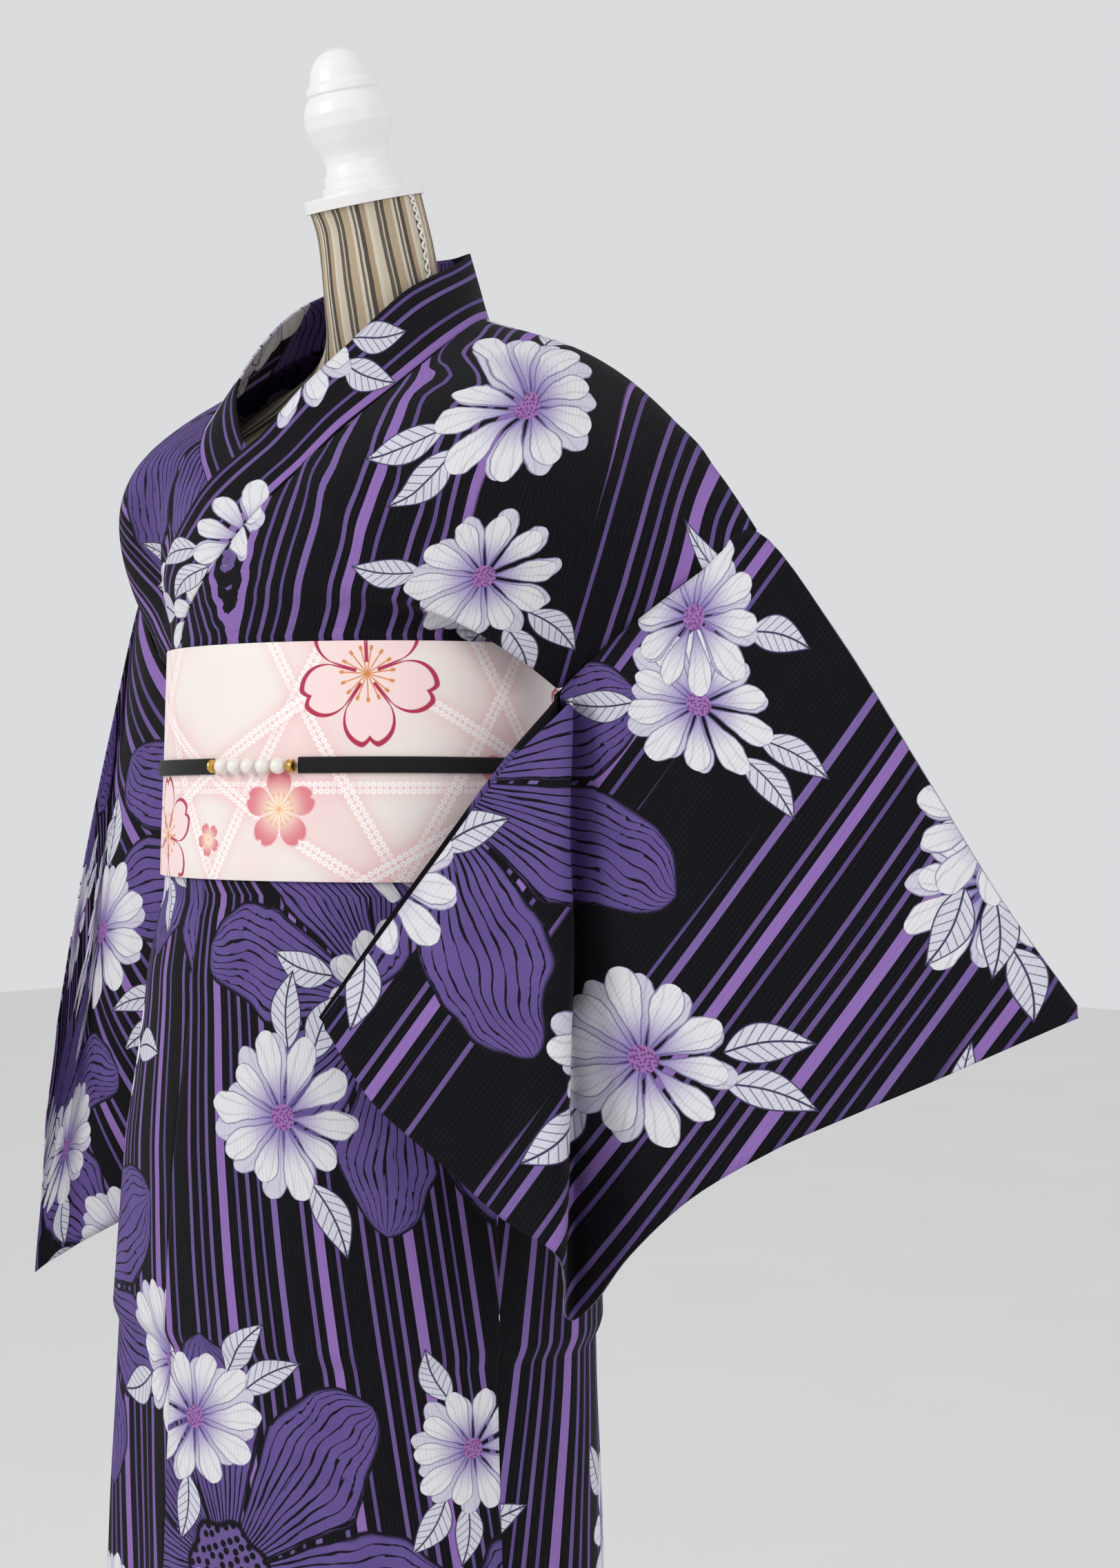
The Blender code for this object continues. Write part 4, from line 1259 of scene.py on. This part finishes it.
# offset in metres, width in metres, colour: the lengthwise stripes of one repeat
STRIPES = [
    (0.000, 0.0032, "6B568F"),
    (0.010, 0.0030, "5E4B85"),
    (0.019, 0.0036, "6B568F"),
    (0.030, 0.0080, "8D6BB0"),
    (0.046, 0.0028, "5E4B85"),
    (0.055, 0.0036, "6B568F"),
    (0.065, 0.0026, "5E4B85"),
    (0.075, 0.0050, "7A61A0"),
    (0.098, 0.0030, "6B568F"),
    (0.107, 0.0072, "8D6BB0"),
    (0.121, 0.0030, "5E4B85"),
]
STRIPE_REPEAT = 0.142
BLACK_GROUND = "07060A"


def stripes(graph, across, along):
    drift = graph.mul(graph.noise(graph.join(across, along), 1.3), 0.012)
    share = graph.fraction(graph.div(graph.add(across, drift), STRIPE_REPEAT))
    bands = []
    for start, wide, shade in STRIPES:
        bands.append((start / STRIPE_REPEAT, shade))
        bands.append(((start + wide) / STRIPE_REPEAT, BLACK_GROUND))
    printed = banded(graph, share, bands)
    bare = graph.noise(graph.join(graph.mul(across, 7.0), graph.mul(along, 0.3), 4.0), 1.0, 1.0)
    return graph.mix(graph.step(bare, 0.60, 0.004), printed, colour(BLACK_GROUND))


def cotton_material(name, seed, shift=(0.0, 0.0)):
    """Printed cotton. Its places come from the panel's flat cloth, in metres."""
    material, graph, surface = new_material(name)
    where = graph.node("UVMap", uv_map="cloth").outputs[0]
    place = graph.vector("ADD", where, (shift[0], shift[1], 0.0))
    across, along, _ = graph.split(place)
    print_colour = stripes(graph, across, along)
    spot = scattered(graph, place, (0.37, 0.39), (0.0, 0.0), 0.02, seed)
    local, value, first, _, _ = spot
    local = graph.vector("DIVIDE", graph.turned(local, graph.mul(first, 6.28)), (0.19, 0.19, 1.0))
    tint, mask = use_group(graph, "bloom", local, value)
    mask = graph.mul(mask, graph.step(value, 0.18, 0.001))
    print_colour = graph.mix(mask, print_colour, tint)
    layers = [
        ((0.205, 0.215), (0.03, 0.05), 0.016, 0.22, 1.0),
        ((0.225, 0.205), (0.14, 0.16), 0.016, 0.45, 2.0),
    ]
    for pitch, offset, jitter, rare, extra in layers:
        spot = scattered(graph, place, pitch, offset, jitter, seed + extra)
        local, value, first, second, third = spot
        size = graph.muladd(second, 0.012, 0.054)
        local = graph.turned(local, graph.mul(first, 6.28))
        x, y, _ = graph.split(local)
        local = graph.join(
            graph.div(x, size),
            graph.div(graph.mul(y, graph.muladd(third, 0.38, 1.0)), size),
        )
        shown = graph.step(value, rare, 0.001)
        base = graph.mul(third, 6.28)
        for turn in (0.0, 0.42, 2.6):
            tint, mask = use_group(graph, "leaf", local, graph.add(base, turn))
            print_colour = graph.mix(graph.mul(mask, shown), print_colour, tint)
        tint, mask = use_group(graph, "daisy", local, value)
        print_colour = graph.mix(graph.mul(mask, shown), print_colour, tint)
    pin = graph.fraction(graph.div(across, 0.0029))
    pin = graph.under(pin, 0.16, 0.05)
    dash_column = graph.floor(graph.div(across, 0.0029))
    dash_row = graph.floor(graph.div(along, 0.009))
    dashed, _ = graph.random(graph.join(dash_column, dash_row))
    pin = graph.mul(pin, graph.muladd(graph.step(dashed, 0.45, 0.05), 0.6, 0.4))
    worn = graph.mix(graph.mul(pin, 0.20), print_colour, colour("3A3744"))
    mottle = graph.noise(where, 55.0, 4.0)
    worn = graph.mix(graph.mul(mottle, 0.05), worn, colour("2E2B38"))
    graph.put(surface.inputs["Base Color"], worn)
    graph.put(surface.inputs["Roughness"], graph.muladd(mottle, 0.10, 0.78))
    surface.inputs["Sheen Weight"].default_value = 0.02
    surface.inputs["Sheen Roughness"].default_value = 0.6
    surface.inputs["Specular IOR Level"].default_value = 0.12
    weave = cloth_weave(graph, across, along, 0.0008)
    crumple = graph.mul(graph.noise(where, 16.0, 5.0), 2.4)
    graph.put(surface.inputs["Normal"], bump(graph, graph.add(weave, crumple), 0.35, 0.0006))
    return material


def cloth_weave(graph, across, along, pitch):
    over = graph.sine(graph.mul(across, 2 * math.pi / pitch))
    under = graph.sine(graph.mul(along, 2 * math.pi / pitch))
    return graph.mul(graph.mul(over, under), 0.22)


def bump(graph, height, strength, distance):
    made = graph.node("Bump")
    made.inputs["Strength"].default_value = strength
    made.inputs["Distance"].default_value = distance
    graph.put(made.inputs["Height"], height)
    return made.outputs[0]


def make_blossom_group():
    """A five-petalled cherry blossom: filled shape, outline, and stamens."""
    shown = [(label, "Float") for label in ("Inside", "Outline", "Stamens", "Radius")]
    graph, given, out = new_group("blossom", [("Place", "Vector")], shown)
    radius, angle = polar(graph, given[0])
    _, across = sector(graph, angle, 5)
    side = graph.abs(across)
    bow = graph.power(graph.cosine(graph.mul(across, math.pi)), 0.42)
    notch = graph.mul(graph.under(side, 0.0, 0.11), 0.22)
    reach = graph.sub(graph.muladd(bow, 0.72, 0.30), notch)
    room = graph.sub(reach, radius)
    inside = graph.step(room, 0.0, 0.012)
    outline = graph.under(graph.abs(room), 0.040, 0.012)
    gap = graph.mul(graph.sub(0.5, side), radius)
    gap = graph.under(gap, 0.022, 0.008)
    gap = graph.mul(gap, graph.mul(inside, graph.step(radius, 0.16, 0.01)))
    _, spoke = sector(graph, angle, 15)
    spoke = graph.mul(graph.abs(spoke), radius)
    ray = graph.under(spoke, 0.022, 0.012)
    ray = graph.mul(ray, graph.under(radius, 0.34, 0.01))
    knob = graph.under(graph.apart(radius, 0.37), 0.035, 0.012)
    knob = graph.mul(knob, graph.under(spoke, 0.055, 0.02))
    graph.put(out[0], inside)
    graph.put(out[1], graph.high(outline, gap))
    graph.put(out[2], graph.high(ray, knob))
    graph.put(out[3], radius)


# kind, angle on the body in degrees, height in metres, radius in metres, turn: blossoms on the belt
BLOSSOMS = [
    ("pink", 20, 1.033, 0.028, 0.3),
    ("pink", -4, 1.012, 0.012, 1.1),
    ("line", 42, 1.123, 0.047, 0.9),
    ("line", -30, 1.014, 0.040, 0.2),
    ("pink", 84, 1.048, 0.026, 0.8),
    ("line", 128, 1.085, 0.045, 0.5),
    ("pink", -70, 1.110, 0.027, 0.1),
    ("line", -104, 1.030, 0.044, 0.7),
    ("pink", -146, 1.075, 0.028, 1.0),
    ("pink", 172, 1.035, 0.026, 0.4),
]


def obi_material(arc_of):
    """Pale pink belt cloth. arc_of gives the cloth's place across for an angle on the body."""
    material, graph, surface = new_material("obi_print")
    place = graph.node("UVMap", uv_map="cloth").outputs[0]
    across, along, _ = graph.split(place)
    drift = graph.noise(place, 9.0, 1.0)
    tint = graph.mix(graph.step(drift, 0.56, 0.14), colour("F1E8E2"), colour("F1D6D3"))
    for turn in (0.0, 1.0472, -1.0472, 0.5236, -0.5236):
        x, y, _ = graph.split(graph.turned(place, turn))
        away = graph.sub(graph.fraction(graph.div(y, 0.125)), 0.5)
        away = graph.mul(graph.abs(away), 0.125)
        glow = graph.under(away, 0.006, 0.009)
        tint = graph.mix(graph.mul(glow, 0.45), tint, colour("EFB4B4"))
        dot_x = graph.sub(graph.fraction(graph.div(x, 0.0044)), 0.5)
        dot = graph.vector("LENGTH", graph.join(graph.mul(dot_x, 0.0044), graph.sub(away, 0.0023)))
        ring = graph.under(graph.apart(dot, 0.0013), 0.0007, 0.0003)
        tint = graph.mix(graph.mul(ring, 0.85), tint, colour("FFFDFB"))
    for kind, angle, height, size, turn in BLOSSOMS:
        middle = (arc_of(angle), height - OBI_BOTTOM, 0.0)
        local = graph.turned(graph.vector("SUBTRACT", place, middle), turn)
        local = graph.vector("DIVIDE", local, (size, size, 1.0))
        inside, outline, stamens, radius = use_group(graph, "blossom", local)
        if kind == "pink":
            petal = graph.mix(graph.step(radius, 0.45, 0.45), colour("FBEFD6"), colour("DE7C88"))
            tint = graph.mix(inside, tint, petal)
            tint = graph.mix(graph.mul(graph.mul(outline, inside), 0.5), tint, colour("F9E7E4"))
            tint = graph.mix(graph.mul(stamens, 0.8), tint, colour("EBA35F"))
        else:
            tint = graph.mix(inside, tint, colour("F7DCD9"))
            tint = graph.mix(outline, tint, colour("B0274C"))
            tint = graph.mix(graph.mul(stamens, inside), tint, colour("D98A3F"))
    graph.put(surface.inputs["Base Color"], tint)
    graph.put(surface.inputs["Roughness"], graph.muladd(graph.noise(place, 40.0), 0.15, 0.52))
    surface.inputs["Sheen Weight"].default_value = 0.12
    surface.inputs["Specular IOR Level"].default_value = 0.35
    weave = cloth_weave(graph, across, along, 0.0006)
    graph.put(surface.inputs["Normal"], bump(graph, weave, 0.3, 0.0003))
    return material


# share of a repeat, colour: the woven stripes of the form's linen cover
LINEN = [
    (0.00, "D9CDB8"),
    (0.14, "5A5450"),
    (0.22, "CDBFA6"),
    (0.26, "4A4542"),
    (0.34, "C2AE90"),
    (0.52, "E2DACA"),
    (0.59, "6A635D"),
    (0.65, "D9CDB8"),
    (0.70, "403C3A"),
    (0.80, "B79F80"),
    (0.92, "E4DCCB"),
]
LINEN_REPEAT = 0.033  # metres round the neck


def linen_material():
    material, graph, surface = new_material("linen_stripe")
    x, y, z = graph.split(graph.node("TexCoord").outputs["Object"])
    back = graph.sub(0.035, graph.mul(graph.sub(z, 1.37), math.tan(NECK_LEAN)))
    turn = graph.math("ARCTAN2", x, graph.sub(back, y))
    across = graph.mul(turn, 0.0425)
    place = graph.join(across, z)
    drift = graph.mul(graph.noise(place, 60.0), 0.0010)
    share = graph.fraction(graph.div(graph.add(across, drift), LINEN_REPEAT))
    woven = banded(graph, share, LINEN)
    slub = graph.noise(graph.join(graph.mul(across, 9.0), z), 180.0, 3.0)
    tint = graph.mix(graph.mul(slub, 0.35), woven, colour("8D8375"))
    graph.put(surface.inputs["Base Color"], tint)
    graph.put(surface.inputs["Roughness"], graph.muladd(slub, 0.1, 0.85))
    surface.inputs["Specular IOR Level"].default_value = 0.2
    weave = graph.add(cloth_weave(graph, across, z, 0.0011), slub)
    graph.put(surface.inputs["Normal"], bump(graph, weave, 0.6, 0.0004))
    return material


def grained_material(name, low, high, roughness, scale, depth, metallic=0.0, sheen=0.0, coat=0.0):
    """A material whose colour, gloss and surface vary a little over its size."""
    material, graph, surface = new_material(name)
    place = graph.node("TexCoord").outputs["Object"]
    grain = graph.noise(place, scale, 4.0)
    graph.put(surface.inputs["Base Color"], graph.mix(grain, colour(low), colour(high)))
    graph.put(surface.inputs["Roughness"], graph.muladd(grain, 0.12, roughness - 0.06))
    surface.inputs["Metallic"].default_value = metallic
    surface.inputs["Sheen Weight"].default_value = sheen
    surface.inputs["Coat Weight"].default_value = coat
    surface.inputs["Coat Roughness"].default_value = 0.12
    graph.put(surface.inputs["Normal"], bump(graph, grain, 0.4, depth))
    return material


# Room, light and camera


def add_light(name, where, aim, size, power, tint=(1.0, 1.0, 1.0)):
    data = bpy.data.lights.new(name, "AREA")
    data.size = size
    data.energy = power
    data.color = tint
    light = linked(name, data)
    light.location = where
    light.rotation_euler = (Vector(aim) - Vector(where)).to_track_quat("-Z", "Y").to_euler()


def build_stage():
    mesh = bpy.data.meshes.new("floor")
    mesh.from_pydata([(-9, -9, 0), (9, -9, 0), (9, 9, 0), (-9, 9, 0)], [], [(0, 1, 2, 3)])
    floor = linked("floor", mesh)
    mesh.materials.append(grained_material("pale_floor", "E9E8E6", "EFEEEC", 0.6, 3.0, 0.0002))
    world = bpy.data.worlds.new("studio")
    world.use_nodes = True
    world.node_tree.nodes["Background"].inputs[0].default_value = (0.93, 0.94, 0.96, 1.0)
    world.node_tree.nodes["Background"].inputs[1].default_value = 0.76
    bpy.context.scene.world = world
    add_light("key", (-0.9, -3.2, 2.6), (0.0, 0.0, 1.0), 1.6, 48)
    add_light("side", (3.4, -0.4, 2.0), (0.1, 0.0, 1.0), 1.8, 22)
    bpy.context.scene.view_settings.view_transform = "Standard"


CAMERA_PLACE = (1.2667, -1.2160, 1.05)
CAMERA_LENS = 56.0


def build_camera():
    data = bpy.data.cameras.new("camera")
    data.sensor_fit = "AUTO"
    data.sensor_width = 36.0
    data.lens = CAMERA_LENS
    camera = linked("camera", data)
    camera.location = CAMERA_PLACE
    camera.rotation_euler = (math.pi / 2, 0.0, CAMERA_TURN)
    bpy.context.scene.camera = camera


def arc_on_belt(angle):
    """How far along the belt's cloth an angle on the body lies."""
    while angle < BELT_START + 40:
        angle += 360
    count = int((angle - BELT_START) / BELT_STEP)
    angles = [BELT_START + BELT_STEP * i for i in range(count + 1)]
    points = np.array([tuple(on_ring(a, 1.065, OBI_LAYER)) for a in angles])
    return float(lengths_along(points)[-1])


SLEEVE_GRAIN = math.radians(54)  # the near sleeve's grain above level, seen square on
GRAIN_SINE, GRAIN_COSINE = math.sin(SLEEVE_GRAIN), math.cos(SLEEVE_GRAIN)
SLEEVE_PLANE = (
    (SIDEWAYS[0] * GRAIN_SINE, SIDEWAYS[1] * GRAIN_SINE, -GRAIN_COSINE),
    (SIDEWAYS[0] * GRAIN_COSINE, SIDEWAYS[1] * GRAIN_COSINE, GRAIN_SINE),
)

build_camera()
build_stage()
make_daisy_group()
make_leaf_group()
make_bloom_group()
make_blossom_group()
cotton = cotton_material("yukata_print", 11.0)
collar_cotton = cotton_material("collar_print", 23.0)
sleeve_cotton = cotton_material("sleeve_print", 37.0, (0.02, 0.10))
satin = obi_material(arc_on_belt)
linen = linen_material()
wood = grained_material("white_paint", "E9E8E6", "F1F0EE", 0.38, 24.0, 0.00015, coat=0.15)
velvet = grained_material("black_velvet", "020203", "0A0A0C", 0.95, 900.0, 0.0003, sheen=0.08)
pearl = grained_material("pearl_shell", "E6E0D6", "F4F0EA", 0.22, 120.0, 0.00005, coat=0.8)
gilt = grained_material("gilt_metal", "C79A4B", "E0B765", 0.28, 300.0, 0.00005, metallic=1.0)
braid = grained_material("braid_thread", "E3DFD6", "F5F3EE", 0.8, 900.0, 0.0002)

cloth = build_robe(cotton, collar_cotton)
for sleeve in (
    ("left", LEFT_SLEEVE, LEFT_ARMPIT, -1, "valley", LEFT_WRIST_FROM, sleeve_cotton, SLEEVE_PLANE),
    ("right", RIGHT_SLEEVE, RIGHT_ARMPIT, 1, "wrist", None, sleeve_cotton),
):
    cloth.append(build_sleeve(*sleeve))
cloth.append(build_belt(satin, velvet, pearl, gilt))
build_form(linen, wood, braid)
for node in ("pole", "stand_base"):
    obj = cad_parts[node]
    obj.data.materials.clear()
    obj.data.materials.append(wood)
